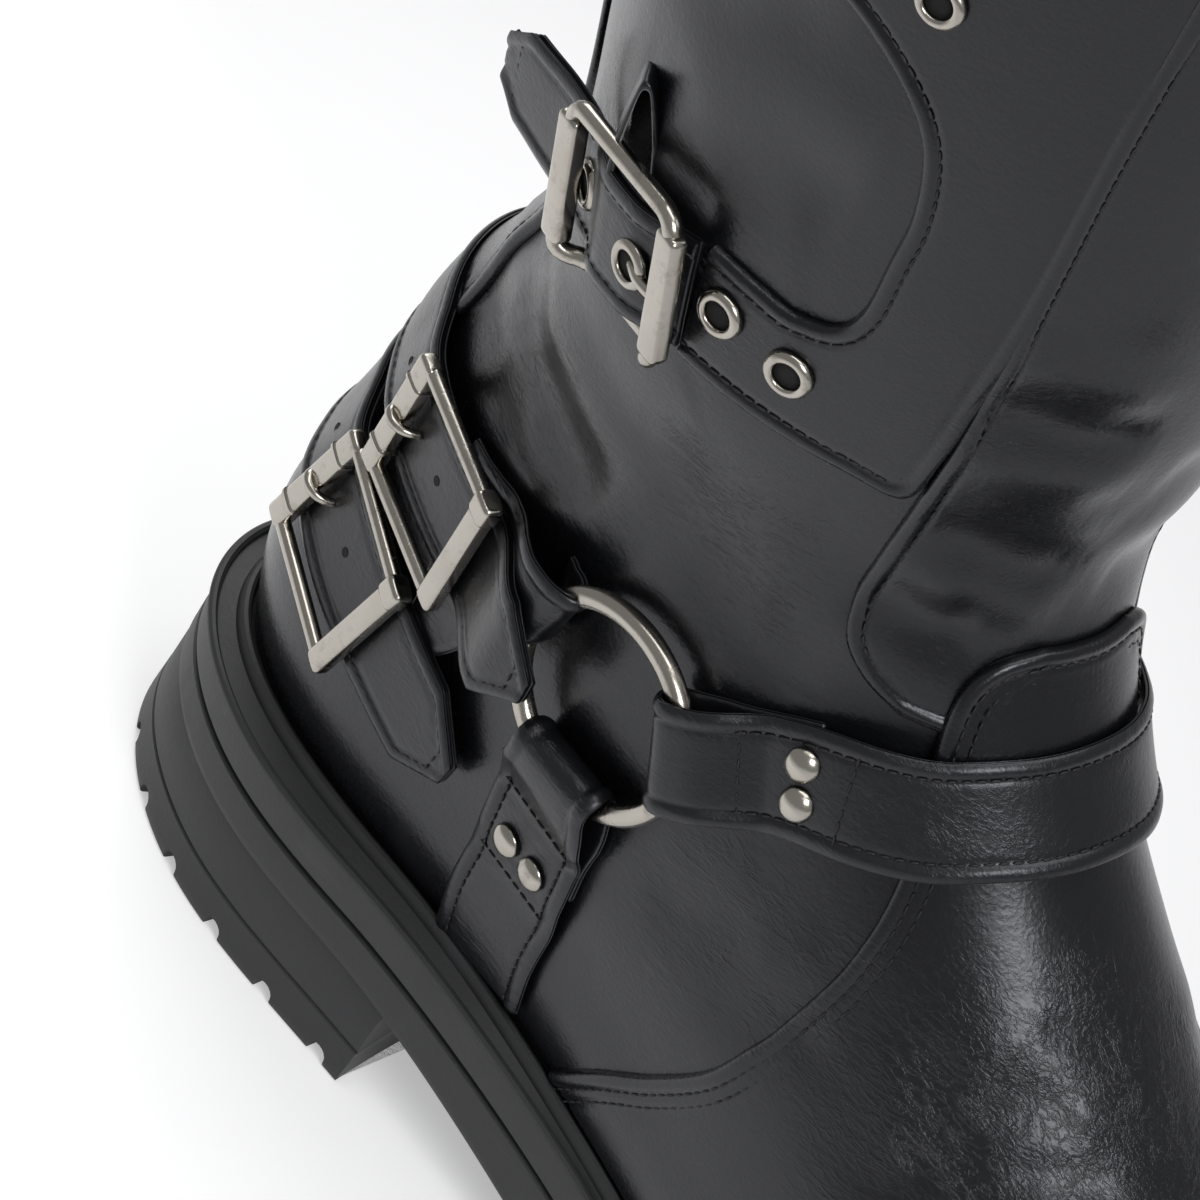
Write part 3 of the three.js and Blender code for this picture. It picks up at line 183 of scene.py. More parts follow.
class BootSizes(bpy.types.PropertyGroup):
    """Sizes of the finish that a user may change"""
    stitch_pitch: length_setting("Stitch pitch", "From one stitch to the next", 0.0023, 0.001)
    stitch_length: length_setting("Stitch length", "Length of one stitch", 0.0021, 0.0005)
    thread: length_setting("Thread", "Thickness of the sewing thread", 0.0005, 0.0001)
    fold_width: length_setting("Folded edge", "From a panel's edge to its stitch line", 0.0031, 0.001)
    fold_rise: length_setting("Rise of the edge", "How far a folded edge stands over its panel", 0.00042, 0.0)
    groove: length_setting("Stitch groove", "Depth that the stitches pull the leather in", 0.0003, 0.0)
    hole: length_setting("Punched hole", "Radius of the holes in the heel straps", 0.0008, 0.0003)
    crease: bpy.props.FloatProperty(
        name="Creases", description="Strength of the leather's soft troughs", default=1.0, min=0.0, max=2.0,
        subtype="FACTOR")


class BootColours(bpy.types.PropertyGroup):
    """Colours of the boot and its floor"""
    leather: colour_setting("Leather", "Upper leather", (0.0042, 0.0045, 0.0056))
    strap: colour_setting("Strap", "Strap leather", (0.0060, 0.0064, 0.0078))
    lining: colour_setting("Lining", "Cloth inside the boot", (0.20, 0.20, 0.205))
    rubber: colour_setting("Rubber", "Sole", (0.0190, 0.0197, 0.0212))
    metal: colour_setting("Metal", "Rings, buckles, rivets and eyelets", (0.40, 0.375, 0.335))
    thread: colour_setting("Thread", "Stitches", (0.0025, 0.0025, 0.003))
    floor: colour_setting("Floor", "Plain floor", (0.62, 0.62, 0.63))


# Small maths

def mix(a, b, t):
    return a + (b - a) * t


def smooth(t):
    s = np.clip(t, 0, 1)
    return s * s * (3 - 2 * s)


def bump(distance, middle, width):
    return np.exp(-((distance - middle) / width) ** 2)


def unit(vectors):
    length = np.linalg.norm(vectors, axis=-1, keepdims=True)
    return vectors / np.maximum(length, 1e-12)


def curve(places, values, at):
    """Smooth curve through values at rising places; values may hold one row for each point"""
    places = np.asarray(places, float)
    values = np.asarray(values, float)
    at = np.clip(np.asarray(at, float), places[0], places[-1])
    k = np.clip(np.searchsorted(places, at, side="left") - 1, 0, len(places) - 2)
    step = np.diff(places)
    rate = np.diff(values, axis=-1) / step
    inner = (rate[..., :-1] * step[1:] + rate[..., 1:] * step[:-1]) / (step[:-1] + step[1:])
    slope = np.concatenate([rate[..., :1], inner, rate[..., -1:]], axis=-1)

    def pick(array, index):
        if array.ndim == 1:
            return array[index]
        return np.take_along_axis(array, index[..., None], -1)[..., 0]

    width = step[k]
    t = (at - places[k]) / width
    low = (2 * t ** 3 - 3 * t ** 2 + 1) * pick(values, k) + (t ** 3 - 2 * t ** 2 + t) * width * pick(slope, k)
    high = (3 * t ** 2 - 2 * t ** 3) * pick(values, k + 1) + (t ** 3 - t ** 2) * width * pick(slope, k + 1)
    return low + high


def read_table(text):
    lines = [line.split() for line in text.strip().splitlines()]
    names = lines.pop(0)[1:]
    return {name: [float(cells[k + 1]) for cells in lines] for k, name in enumerate(names)}


ROWS = read_table(SECTIONS)
ROW_PLACES = list(range(len(ROWS["back"])))
TOP_ROW = len(ROW_PLACES) - 1
WIDTH_NAMES = ["heel", "seat", "waist", "arch", "ball", "toe", "tip"]


def row_value(name, v):
    return curve(ROW_PLACES, ROWS[name], v)


# The form of the foot and leg, with angle 0 at the front, 90 degrees outside and 180 at the back

def platform_floor(x):
    slope = smooth((x - 0.09 * LENGTH) / (0.44 * LENGTH))
    spring = smooth((x - 0.62 * LENGTH) / (0.28 * LENGTH))
    return HEEL_BLOCK * (1 - slope) + TOE_SPRING * spring


def sole_top(x):
    return platform_floor(x) + PLATFORM + PLATFORM_GAIN * smooth((x - 0.07 * LENGTH) / (0.33 * LENGTH))


SEAT = sole_top(-0.136 * LENGTH)


def skin(angle, v):
    """Points of the form at angles in radians and rows"""
    angle, v = np.broadcast_arrays(np.asarray(angle, float), np.asarray(v, float))
    u = (1 + np.cos(angle)) / 2
    x = mix(row_value("back", v), row_value("front", v), u) * LENGTH
    widths = np.stack([row_value(name, v) for name in WIDTH_NAMES], axis=-1)
    half = np.sin(angle) * curve(STATIONS, widths, u) * BALL
    y = row_value("swing", v) * BALL * smooth((u - 0.35) / 0.5) - half
    rise = mix(row_value("low", v), row_value("high", v), u) * RISE
    z = SEAT + row_value("keep", v) * (sole_top(x) - SEAT) + rise
    return np.stack([x, y, z], axis=-1)


def tangents(angle, v):
    """Ways round and up the form at its points, and the way out of it"""
    step = 0.002
    high = np.minimum(v + step, TOP_ROW)
    low = np.maximum(v - step, 0)
    around = (skin(angle + step, v) - skin(angle - step, v)) / (2 * step)
    up = (skin(angle, high) - skin(angle, low)) / (high - low)[..., None]
    return around, up, unit(np.cross(up, around))


def lifted(angle, v, lift):
    angle, v = np.broadcast_arrays(np.asarray(angle, float), np.asarray(v, float))
    return skin(angle, v) + tangents(angle, v)[2] * np.asarray(lift, float)[..., None]


def find_row(z, angle_at):
    """Angle and row where the form is z high, when angle_at gives the angle on each row"""
    v = TOP_ROW / 2
    for attempt in range(30):
        angle = angle_at(v)
        slope = (skin(angle, min(v + 0.05, TOP_ROW))[2] - skin(angle, max(v - 0.05, 0))[2]) / 0.1
        v = float(np.clip(v + 0.7 * (z - skin(angle, v)[2]) / slope, 0, TOP_ROW))
    return angle, v


def spot_up(degrees, z):
    return find_row(z, lambda v: math.radians(degrees))


def spot_at(x, z, side):
    def angle_at(v):
        back = row_value("back", v) * LENGTH
        front = row_value("front", v) * LENGTH
        return math.acos(float(np.clip(2 * (x - back) / (front - back) - 1, -1, 1)))

    angle, v = find_row(z, angle_at)
    return side * angle, v


def normal_at(angle, v):
    return tangents(np.array(angle), np.array(v))[2]


def walked_along(points):
    """Distance walked along a line of points, for each of them"""
    return np.concatenate([[0], np.cumsum(np.linalg.norm(np.diff(points, axis=0), axis=1))])


class Route:
    """A line over the form through spots, measured along its length"""

    def __init__(self, spots):
        self.places = list(range(len(spots)))
        self.angles = [spot[0] for spot in spots]
        self.rows = [spot[1] for spot in spots]
        self.t = np.linspace(0, len(spots) - 1, 241)
        self.walked = walked_along(skin(*self.spot(self.t)))
        self.length = float(self.walked[-1])

    def spot(self, t):
        return curve(self.places, self.angles, t), curve(self.places, self.rows, t)

    def at(self, distance):
        return self.spot(np.interp(distance, self.walked, self.t))

    def place(self, distance, across, lift):
        """Points beside the line, moved across over the form in two steps and then lifted off it"""
        distance, across, lift = np.broadcast_arrays(
            np.asarray(distance, float), np.asarray(across, float), np.asarray(lift, float))
        angle, v = self.at(distance)
        ahead = skin(*self.at(distance + 1)) - skin(*self.at(distance - 1))
        for step in range(2):
            around, up, normal = tangents(angle, v)
            side = unit(np.cross(normal, ahead)) * (across / 2)[..., None]
            around_square = (around * around).sum(-1)
            shared = (around * up).sum(-1)
            up_square = (up * up).sum(-1)
            first = (side * around).sum(-1)
            second = (side * up).sum(-1)
            area = around_square * up_square - shared * shared
            angle = angle + (first * up_square - second * shared) / area
            v = np.clip(v + (second * around_square - first * shared) / area, 0, TOP_ROW)
        return lifted(angle, v, lift)

    def normal(self, distance, across):
        return unit(self.place(distance, across, 5.0) - self.place(distance, across, 0.0))

    def nearest(self, point):
        distances = np.linspace(0, self.length, 400)
        return float(distances[np.linalg.norm(skin(*self.at(distances)) - point, axis=1).argmin()])


# Creases

def line_of(spots, count=24):
    route = Route([(math.radians(degrees), row) for degrees, row in spots])
    return skin(*route.spot(np.linspace(0, len(spots) - 1, count)))


def relief(points):
    """How far the creases move points of the form along their normals, in millimetres"""
    strength = bpy.context.scene.boot_sizes.crease
    points = np.asarray(points)
    flat = points.reshape(-1, 3)
    result = np.zeros(len(flat))
    for depth, width, spots in CREASES:
        line = line_of(spots)
        reach = 3.2 * width
        near = np.where(((flat > line.min(0) - reach) & (flat < line.max(0) + reach)).all(1))[0]
        if len(near) == 0:
            continue
        off = np.linalg.norm(flat[near][:, None] - line[None], axis=2)
        closest = off.argmin(1)
        along = closest / (len(line) - 1)
        taper = smooth(along / 0.3 + 0.15) * smooth((1 - along) / 0.3 + 0.15)
        distance = off.min(1)
        shape = -bump(distance, 0, width) + 0.4 * bump(distance, 1.9 * width, width)
        result[near] += depth * taper * shape
    return strength * result.reshape(points.shape[:-1])


def crinkle(points):
    """Strength of the fine crinkles at points of the form, from 0 to 1"""
    points = np.asarray(points)
    result = np.zeros(points.shape[:-1])
    for degrees, row, radius, strength in CRINKLES:
        centre = skin(math.radians(degrees), row)
        distance = np.linalg.norm(points - centre, axis=-1)
        result = np.maximum(result, strength * np.exp(-(distance / radius) ** 2))
    return result


def dressed(angle, v, lift):
    """Points over the form with its creases, and the strength of the crinkles there"""
    base = skin(angle, v)
    normal = tangents(angle, v)[2]
    return base + normal * (relief(base) + lift)[..., None], crinkle(base)


# Meshes

class Body:
    """Points and faces of one piece, in millimetres"""

    def __init__(self):
        self.points = []
        self.faces = []
        self.marks = []
        self.finishes = []
        self.count = 0

    def add(self, points, faces, mark=None, finish=0):
        points = np.asarray(points, float).reshape(-1, 3)
        faces = outward(points, faces)
        self.faces.extend([[int(k) + self.count for k in face] for face in faces])
        self.points.append(points)
        self.marks.append(np.zeros(len(points)) if mark is None else np.asarray(mark, float).ravel())
        self.finishes.extend([finish] * len(faces) if isinstance(finish, int) else finish)
        self.count += len(points)
        return self

    def make(self, name, *finishes, sharp=None):
        mesh = bpy.data.meshes.new(name)
        points = np.concatenate(self.points) * MM
        mesh.from_pydata(points.tolist(), [], self.faces)
        mark = mesh.attributes.new("crinkle", "FLOAT", "POINT")
        mark.data.foreach_set("value", np.concatenate(self.marks).astype(np.float32))
        mesh.polygons.foreach_set("use_smooth", [True] * len(mesh.polygons))
        for finish in finishes:
            mesh.materials.append(bpy.data.materials[finish])
        mesh.polygons.foreach_set("material_index", self.finishes)
        if sharp is not None:
            mesh.set_sharp_from_angle(angle=math.radians(sharp))
        mesh.update()
        return linked(name, mesh)


def linked(name, data):
    """A new object of the scene that holds a mesh, a lamp or a camera"""
    made = bpy.data.objects.new(name, data)
    bpy.context.scene.collection.objects.link(made)
    return made


def outward(points, faces):
    """Faces of a closed body, turned to point outwards"""
    triangles = [(face[0], face[k], face[k + 1]) for face in faces for k in range(1, len(face) - 1)]
    corners = points[np.asarray(triangles)]
    volume = np.einsum("ij,ij->i", corners[:, 0], np.cross(corners[:, 1], corners[:, 2])).sum()
    return faces if volume > 0 else [tuple(reversed(face)) for face in faces]


def grid_faces(rows, columns, around=False, over=False):
    """Quads of a grid, closed along its columns (around) or along its rows (over)"""
    faces = []
    for i in range(rows if over else rows - 1):
        lower = i * columns
        upper = (i + 1) % rows * columns
        for j in range(columns if around else columns - 1):
            beside = (j + 1) % columns
            faces.append((lower + j, lower + beside, upper + beside, upper + j))
    return faces


def slab(outer, inner):
    """A layer between two open grids of points, as points and faces"""
    rows, columns = outer.shape[:2]
    size = rows * columns
    points = np.concatenate([outer.reshape(-1, 3), inner.reshape(-1, 3)])
    face_up = grid_faces(rows, columns)
    faces = face_up + [tuple(k + size for k in reversed(face)) for face in face_up]
    rim = list(range(columns))
    rim += [i * columns + columns - 1 for i in range(1, rows)]
    rim += [(rows - 1) * columns + j for j in range(columns - 2, -1, -1)]
    rim += [i * columns for i in range(rows - 2, 0, -1)]
    for k, first in enumerate(rim):
        second = rim[(k + 1) % len(rim)]
        faces.append((second, first, first + size, second + size))
    return points, faces


def stacked(rings):
    """A solid of stacked rings, closed by rungs at both ends"""
    rings = np.asarray(rings)
    count = rings.shape[1]
    faces = grid_faces(len(rings), count, around=True)
    last = (len(rings) - 1) * count
    for j in range(count // 2):
        rung = [j, j + 1, count - j - 1, (count - j) % count]
        corners = [corner for k, corner in enumerate(rung) if rung.index(corner) == k]
        if len(corners) > 2:
            faces.append(tuple(reversed(corners)))
            faces.append(tuple(last + corner for corner in corners))
    return rings.reshape(-1, 3), faces


def lathe(profile, steps=28):
    """A turned solid round Z, from radius and height pairs"""
    profile = np.asarray(profile, float)
    turns = np.linspace(0, 2 * math.pi, steps, endpoint=False)
    rings = [np.stack([r * np.cos(turns), r * np.sin(turns), np.full(steps, h)], axis=-1) for r, h in profile]
    closed = bool(np.allclose(profile[0], profile[-1]))
    if closed:
        rings = rings[:-1]
        return np.concatenate(rings), grid_faces(len(rings), steps, around=True, over=True)
    points = np.concatenate(rings)
    faces = grid_faces(len(rings), steps, around=True)
    faces.append(tuple(reversed(range(steps))))
    faces.append(tuple(len(points) - steps + k for k in range(steps)))
    return points, faces


def tube(path, radii, sides=16, closed=False):
    """A round wire along a path, with rounded ends where it is open"""
    path = np.asarray(path, float)
    radii = np.broadcast_to(np.asarray(radii, float), (len(path),)).copy()
    if closed:
        along = unit(np.roll(path, -1, axis=0) - np.roll(path, 1, axis=0))
    else:
        along = unit(np.gradient(path, axis=0))
        ends = np.array([0.92, 0.71, 0.38, 0.08])
        first = [path[0] - along[0] * radii[0] * math.sqrt(1 - e * e) for e in ends[::-1]]
        last = [path[-1] + along[-1] * radii[-1] * math.sqrt(1 - e * e) for e in ends]
        path = np.concatenate([first, path, last])
        radii = np.concatenate([radii[0] * ends[::-1], radii, radii[-1] * ends])
        along = np.concatenate([[along[0]] * 4, along, [along[-1]] * 4])
    side = unit(np.cross(along[0], [0.31, 0.22, 0.92]))
    rings = []
    turns = np.linspace(0, 2 * math.pi, sides, endpoint=False)
    for point, direction, radius in zip(path, along, radii):
        side = unit(side - direction * np.dot(side, direction))
        other = np.cross(direction, side)
        rings.append(point + radius * (np.cos(turns)[:, None] * side + np.sin(turns)[:, None] * other))
    points = np.concatenate(rings)
    faces = grid_faces(len(rings), sides, around=True, over=closed)
    if not closed:
        faces.append(tuple(reversed(range(sides))))
        faces.append(tuple(len(points) - sides + k for k in range(sides)))
    return points, faces


def smooth_path(points, steps=8):
    """More points on a smooth path through a few"""
    points = np.asarray(points, float)
    walked = walked_along(points)
    at = np.linspace(0, walked[-1], steps * (len(points) - 1) + 1)
    return np.stack([curve(walked, points[:, k], at) for k in range(points.shape[1])], axis=-1)


# Panels of leather on the form

# Distances from a panel's edge at which its faces start, and the room that both edges need together
EDGE_STEPS = np.array([0, 0.12, 0.35, 0.65, 1.0, 1.4, 1.8, 2.2, 2.6, 3.0, 3.4, 3.9, 4.7, 6.0])
EDGE_ROOM = 26
SECOND_LINE = 2.2
GROOVE_WIDTH = 0.42
EDGE_RADIUS = 0.9
EDGE_LEAST = 0.1
STITCH_OVER = 0.12


def spaced(length, middle):
    """Shares from 0 to 1 over a length in millimetres, close together near both ends"""
    ends = EDGE_STEPS * min(1, length / EDGE_ROOM) / length
    between = np.linspace(ends[-1], 1 - ends[-1], middle + 2)[1:-1]
    return np.concatenate([ends, between, 1 - ends[::-1]])


def distance_to(points, line):
    """Shortest distance from points to a line of points"""
    tree = KDTree(len(line))
    for k, place in enumerate(line):
        tree.insert(place, k)
    tree.balance()
    flat = np.asarray(points).reshape(-1, 3)
    nearest = np.array([tree.find(point)[1] for point in flat])
    best = np.full(len(flat), np.inf)
    for step in (-1, 0):
        first = line[np.clip(nearest + step, 0, len(line) - 2)]
        second = line[np.clip(nearest + step, 0, len(line) - 2) + 1]
        along = second - first
        share = np.einsum("ij,ij->i", flat - first, along) / np.maximum((along ** 2).sum(1), 1e-9)
        foot = first + along * np.clip(share, 0, 1)[:, None]
        best = np.minimum(best, np.linalg.norm(flat - foot, axis=1))
    return best.reshape(np.asarray(points).shape[:-1])


def rounded(distance, radius):
    """Quarter-round rise of an edge, from 0 at the edge to 1"""
    return np.sqrt(1 - (1 - np.clip(distance / radius, 0, 1)) ** 2)


def edge_relief(distance, lines=1):
    """Folded edge and stitch grooves of a panel, in millimetres over its flat face"""
    sizes = bpy.context.scene.boot_sizes
    fold = sizes.fold_width / MM
    result = sizes.fold_rise / MM * bump(distance, 0.5 * fold, 0.36 * fold)
    for line in range(lines):
        result = result - sizes.groove / MM * bump(distance, fold + SECOND_LINE * line, GROOVE_WIDTH)
    return result


class Panel:
    """A layer of leather between two edges, given as degrees and rows; base is its height over the form"""

    def __init__(self, start, end, open_sides, base=lambda angle, v: 0.0, lines=1):
        self.start = [np.asarray(values, float) for values in start]
        self.end = [np.asarray(values, float) for values in end]
        self.open_sides = open_sides
        self.base = base
        self.lines = lines
        self.count = len(self.start[0])
        self.places = list(range(self.count))

    def side(self, edge, t):
        return np.radians(curve(self.places, edge[0], t)), curve(self.places, edge[1], t)

    def spots(self, t, share):
        first = self.side(self.start, t)
        last = self.side(self.end, t)
        return mix(first[0], last[0], share), mix(first[1], last[1], share)

    def boundary(self, side, count=360):
        t = np.linspace(0, self.count - 1, count)
        share = np.linspace(0, 1, count)
        top = np.full(count, self.count - 1.0)
        known = {
            "start": (t, 0 * t), "end": (t, 0 * t + 1), "bottom": (0 * top, share), "top": (top, share),
        }
        return self.spots(*known[side])

    def edges(self):
        return [skin(*self.boundary(side)) for side in self.open_sides]

    def height(self, base_points, angle, v):
        off = np.full(base_points.shape[:-1], 99.0)
        for line in self.edges():
            off = np.minimum(off, distance_to(base_points, line))
        rise = (OVERLAY - EDGE_LEAST) * rounded(off, EDGE_RADIUS)
        return EDGE_LEAST + self.base(angle, v) + rise + edge_relief(off, self.lines)

    def body(self, rows, columns):
        along = np.linspace(0, self.count - 1, 200)
        walked = walked_along(skin(*self.spots(along, 0.5)))
        t = np.interp(spaced(walked[-1], rows), walked / walked[-1], along)
        shares = []
        for place in t:
            across = skin(*self.spots(np.full(16, place), np.linspace(0, 1, 16)))
            shares.append(spaced(walked_along(across)[-1], columns))
        shares = np.array(shares)
        angle, v = self.spots(np.repeat(t[:, None], shares.shape[1], 1), shares)
        v = np.clip(v, 0, TOP_ROW)
        base = skin(angle, v)
        outer, marks = dressed(angle, v, self.height(base, angle, v))
        inner = dressed(angle, v, 0 * v + 0.03 + 0.9 * self.base(angle, v))[0]
        return Body().add(*slab(outer, inner), np.concatenate([marks.ravel(), marks.ravel()]))

    def stitch_line(self, side, off, trim=(0, 1)):
        """A line of stitches some way in from an edge, on the panel's face"""
        angle, v = self.boundary(side, 500)
        line = skin(angle, v)
        normal = tangents(angle, v)[2]
        inward = unit(np.cross(normal, np.gradient(line, axis=0)))
        centre = skin(*self.spots(np.array((self.count - 1) / 2), np.array(0.5)))
        middle = len(line) // 2
        if np.dot(inward[middle], centre - line[middle]) < 0:
            inward = -inward
        flat = OVERLAY + self.base(angle, v) + STITCH_OVER
        rise = relief(line) + flat + edge_relief(np.array(off), self.lines)
        path = line + inward * off + normal * rise[..., None]
        first = int(trim[0] * (len(path) - 1))
        last = int(trim[1] * (len(path) - 1))
        return path[first:last + 1]


def tab_lift(angle, v):
    """How far the vamp's tab stands over the front panel beneath it"""
    return 1.75 * smooth((v - 7.05) / 0.7) * smooth((75 - np.degrees(np.abs(angle))) / 20)


def vamp_panel():
    rows, reach = np.array(VAMP_REACH).T
    return Panel((-reach, rows), (reach, rows), ("start", "end", "top"), tab_lift, lines=2)


def front_panel():
    rows, inner, outer = np.array(FRONT_PANEL).T
    return Panel((inner, rows), (outer, rows), ("start", "end", "bottom", "top"))


def side_panel():
    inner, outer = [(turns, [spot_up(90, z)[1] for z in heights])
                    for turns, heights in np.array(SIDE_PANEL).transpose(1, 2, 0)]
    return Panel(inner, outer, ("start", "end"))


def back_stay():
    rows = np.linspace(6.7, TOP_ROW, 9)
    return Panel((0 * rows + STAY_EDGE, rows), (0 * rows + 360 - STAY_EDGE, rows), ("start", "end", "top"))


# Straps

# How the layer over a wire comes down: distances from the wire, and shares of the height that are left
FALL_PLACES = (0, 1.6, 3.4, 5.4, 7.6, 9.8, 12, 14.5)
FALL_SHARES = (1, 0.98, 0.93, 0.82, 0.62, 0.38, 0.16, 0)


class Wire:
    """Where a route passes over a ring's wire; reach is how far from the middle that is measured"""

    def __init__(self, route, side, direction, reach=8.5):
        self.direction = direction
        across = np.linspace(-24, 24, 49)
        centre, ahead, upward, normal = ring_frame(side)
        near = np.full(len(across), 0.0 if direction > 0 else route.length)
        far = near + direction * 40
        for attempt in range(20):
            middle = (near + far) / 2
            off = route.place(middle, across, 0.0) - centre
            inside = np.hypot(off @ ahead, off @ upward) < RING_RADIUS
            near = np.where(inside, middle, near)
            far = np.where(inside, far, middle)
        base = route.place(near, across, 0.0)
        flat = np.stack([(base - centre) @ ahead, (base - centre) @ upward], axis=-1)
        flat = unit(flat) * RING_RADIUS
        wire = centre + flat[:, :1] * ahead + flat[:, 1:] * upward
        lifts = ((wire - base) * route.normal(near, across)).sum(-1)
        edges = (-reach, reach)
        self.distance = float(np.interp(edges, across, near).mean())
        self.lift = float(np.interp(edges, across, lifts).mean()) + 0.3

    def fold(self, turned=TURN_UNDER):
        """Middle line of a strap round the wire: the turned-under layer, the fold and the layer over it"""
        below = np.linspace(turned, min(6, 0.8 * turned), 7)
        line = [(self.distance + self.direction * ahead, UNDER) for ahead in below]
        for turn in np.radians(np.linspace(-90, 90, 17)):
            ahead = -FOLD * math.cos(turn)
            rise = max(self.lift + FOLD * math.sin(turn), UNDER)
            line.append((self.distance + self.direction * ahead, rise))
        for ahead in FALL_PLACES[1:]:
            at = self.distance + self.direction * ahead
            line.append((at, float(self.over(at, OVER))))
        return line

    def over(self, distance, rest):
        """Height of the layer over the wire, which comes down slowly to its height at rest"""
        ahead = (np.asarray(distance) - self.distance) * self.direction
        return mix(rest, self.lift + FOLD, np.interp(ahead, FALL_PLACES, FALL_SHARES))


# Places across a strap, as shares of its half width from an edge, and then from side to side
EDGE_PLACES = np.array([0, 0.12, 0.35, 0.7, 1.1, 1.5, 1.9, 2.3, 2.7, 3.1, 3.6, 4.6, 6.4, 8.2]) / 10
STRAP_SHARES = np.concatenate([EDGE_PLACES - 1, [0.0], 1 - EDGE_PLACES[::-1]])
STRAP_FLEX = 0.25
STITCH_SINK = 0.02
STITCH_RISE = 0.1


class Strap:
    """A band of leather along a route, from a middle line of distances and lifts; half gives its half width,
    and low_half that of its lower side where the two differ. Stitches and rivets on it need rise, its lift"""

    def __init__(self, route, middle, thick, half, rise, low_half=None):
        self.route = route
        self.middle = smooth_path(middle, 4)
        self.thick = thick
        self.half = half
        self.rise = rise
        self.low_half = low_half or half

    def body(self, layers=1):
        body = Body()
        ahead = unit(np.gradient(self.middle, axis=0))
        side = np.stack([-ahead[:, 1], ahead[:, 0]], axis=-1)
        each = self.thick / layers
        for layer in range(layers):
            centre = (layer + 0.5) * each - self.thick / 2
            columns = []
            for share in STRAP_SHARES:
                reach = self.half if share > 0 else self.low_half
                off = (1 - abs(share)) * reach(self.middle[:, 0])
                thin = mix(0.42, 1.0, rounded(off, 0.55 + 0.4 * each))
                top = centre + 0.485 * each * thin
                if layer == layers - 1:
                    top = top + 0.85 * edge_relief(off)
                low = centre - 0.485 * each * thin
                left = self.middle + side * top[:, None]
                right = self.middle + side * low[:, None]
                outline = np.concatenate([left, right[::-1]])
                width = share * reach(outline[:, 0])
                columns.append(self.route.place(outline[:, 0], width, outline[:, 1]))
            columns = np.array(columns)
            count = columns.shape[1]
            faces = grid_faces(len(columns), count, around=True)
            last = (len(columns) - 1) * count
            for k in range(count // 2 - 1):
                faces.append((k, k + 1, count - 2 - k, count - 1 - k))
                faces.append((last + k + 1, last + k, last + count - 1 - k, last + count - 2 - k))
            body.add(columns, faces, np.full(len(columns) * count, STRAP_FLEX))
        return body

    def top(self, distance, across, over):
        """Points some way over the upper face"""
        return self.route.place(distance, across, self.rise(distance) + self.thick / 2 + over)

    def place(self, distance, across, over, size=1.0):
        """Place for a rivet, an eyelet or a hole: a point over the upper face, its normal and a size"""
        distance = np.array(float(distance))
        return self.top(distance, across, over), self.route.normal(distance, across), size

    def along(self, first, last, inset=None):
        """Stitch lines beside both edges"""
        inset = inset or bpy.context.scene.boot_sizes.fold_width / MM
        distance = np.linspace(first, last, max(8, int(last - first)))
        return [self.top(distance, side * (self.half(distance) - inset), -STITCH_SINK) for side in (-1, 1)]

    def across(self, at, inset=None):
        """A stitch line straight across"""
        inset = inset or bpy.context.scene.boot_sizes.fold_width / MM
        reach = float(self.half(np.array(at))) - inset
        return self.top(np.full(24, float(at)), np.linspace(-reach, reach, 24), STITCH_RISE)


def ring_frame(side):
    """Middle of a ring, with the ways ahead, upward and out of the leather"""
    angle, v = spot_at(RING_X, RING_Z, side)
    normal = normal_at(angle, v)
    ahead = unit(np.array([1.0, 0, 0]) - normal * normal[0])
    upward = side * np.cross(normal, ahead)
    return lifted(angle, v, RING_LIFT), ahead, upward, normal


# Route of the instep strap from the outer ring to the front, as degrees and rows
INSTEP_SPOTS = [(73, 6.55), (58, 6.95), (40, 7.2), (22, 7.42)]
INSTEP_FRONT = 7.52
INSTEP_CROWN = 4.6


def instep_strap():
    """The strap, and the distances at which it passes over the wires"""
    outer = [spot_at(RING_X + 5, RING_Z + 1, 1)] + [(math.radians(turn), v) for turn, v in INSTEP_SPOTS]
    route = Route(outer + [(0.0, INSTEP_FRONT)] + [(-angle, v) for angle, v in reversed(outer)])
    start = Wire(route, 1, 1)
    end = Wire(route, -1, -1)

    def rise(distance):
        near = np.minimum(distance - start.distance, end.distance - distance)
        rest = mix(OVER, INSTEP_CROWN, smooth((near - 16) / 16))
        return end.over(distance, start.over(distance, rest))

    places = np.linspace(start.distance + 17, end.distance - 17, 30)
    middle = start.fold() + [(d, float(rise(d))) for d in places] + end.fold()[::-1]
    return Strap(route, middle, STRAP, lambda d: 0 * d + STRAP_HALF, rise), start.distance, end.distance


# Half width of the sole straps at the wire and below the fold
SOLE_STRAP_HALVES = (9.3, 11.2)


def sole_strap(side):
    """The strap, and the distance at which it passes over the wire"""
    spots = [(RING_X, 97), (RING_X, 87), (51, 74), (50.5, 58), (50.5, float(sole_top(50.5)) + 2.6)]
    route = Route([spot_at(x, z, side) for x, z in spots])
    wire = Wire(route, side, 1)

    def rise(distance):
        return wire.over(distance, mix(OVER, UNDER + 0.4, smooth((distance - wire.distance - 23) / 10)))

    places = [d for d in wire.distance + np.arange(17, 70, 4.0) if d < route.length - 2] + [route.length]
    middle = wire.fold() + [(d, float(rise(d))) for d in places]

    def half(distance):
        return mix(*SOLE_STRAP_HALVES, smooth((distance - wire.distance) / 9))

    return Strap(route, middle, STRAP, half, rise), wire.distance


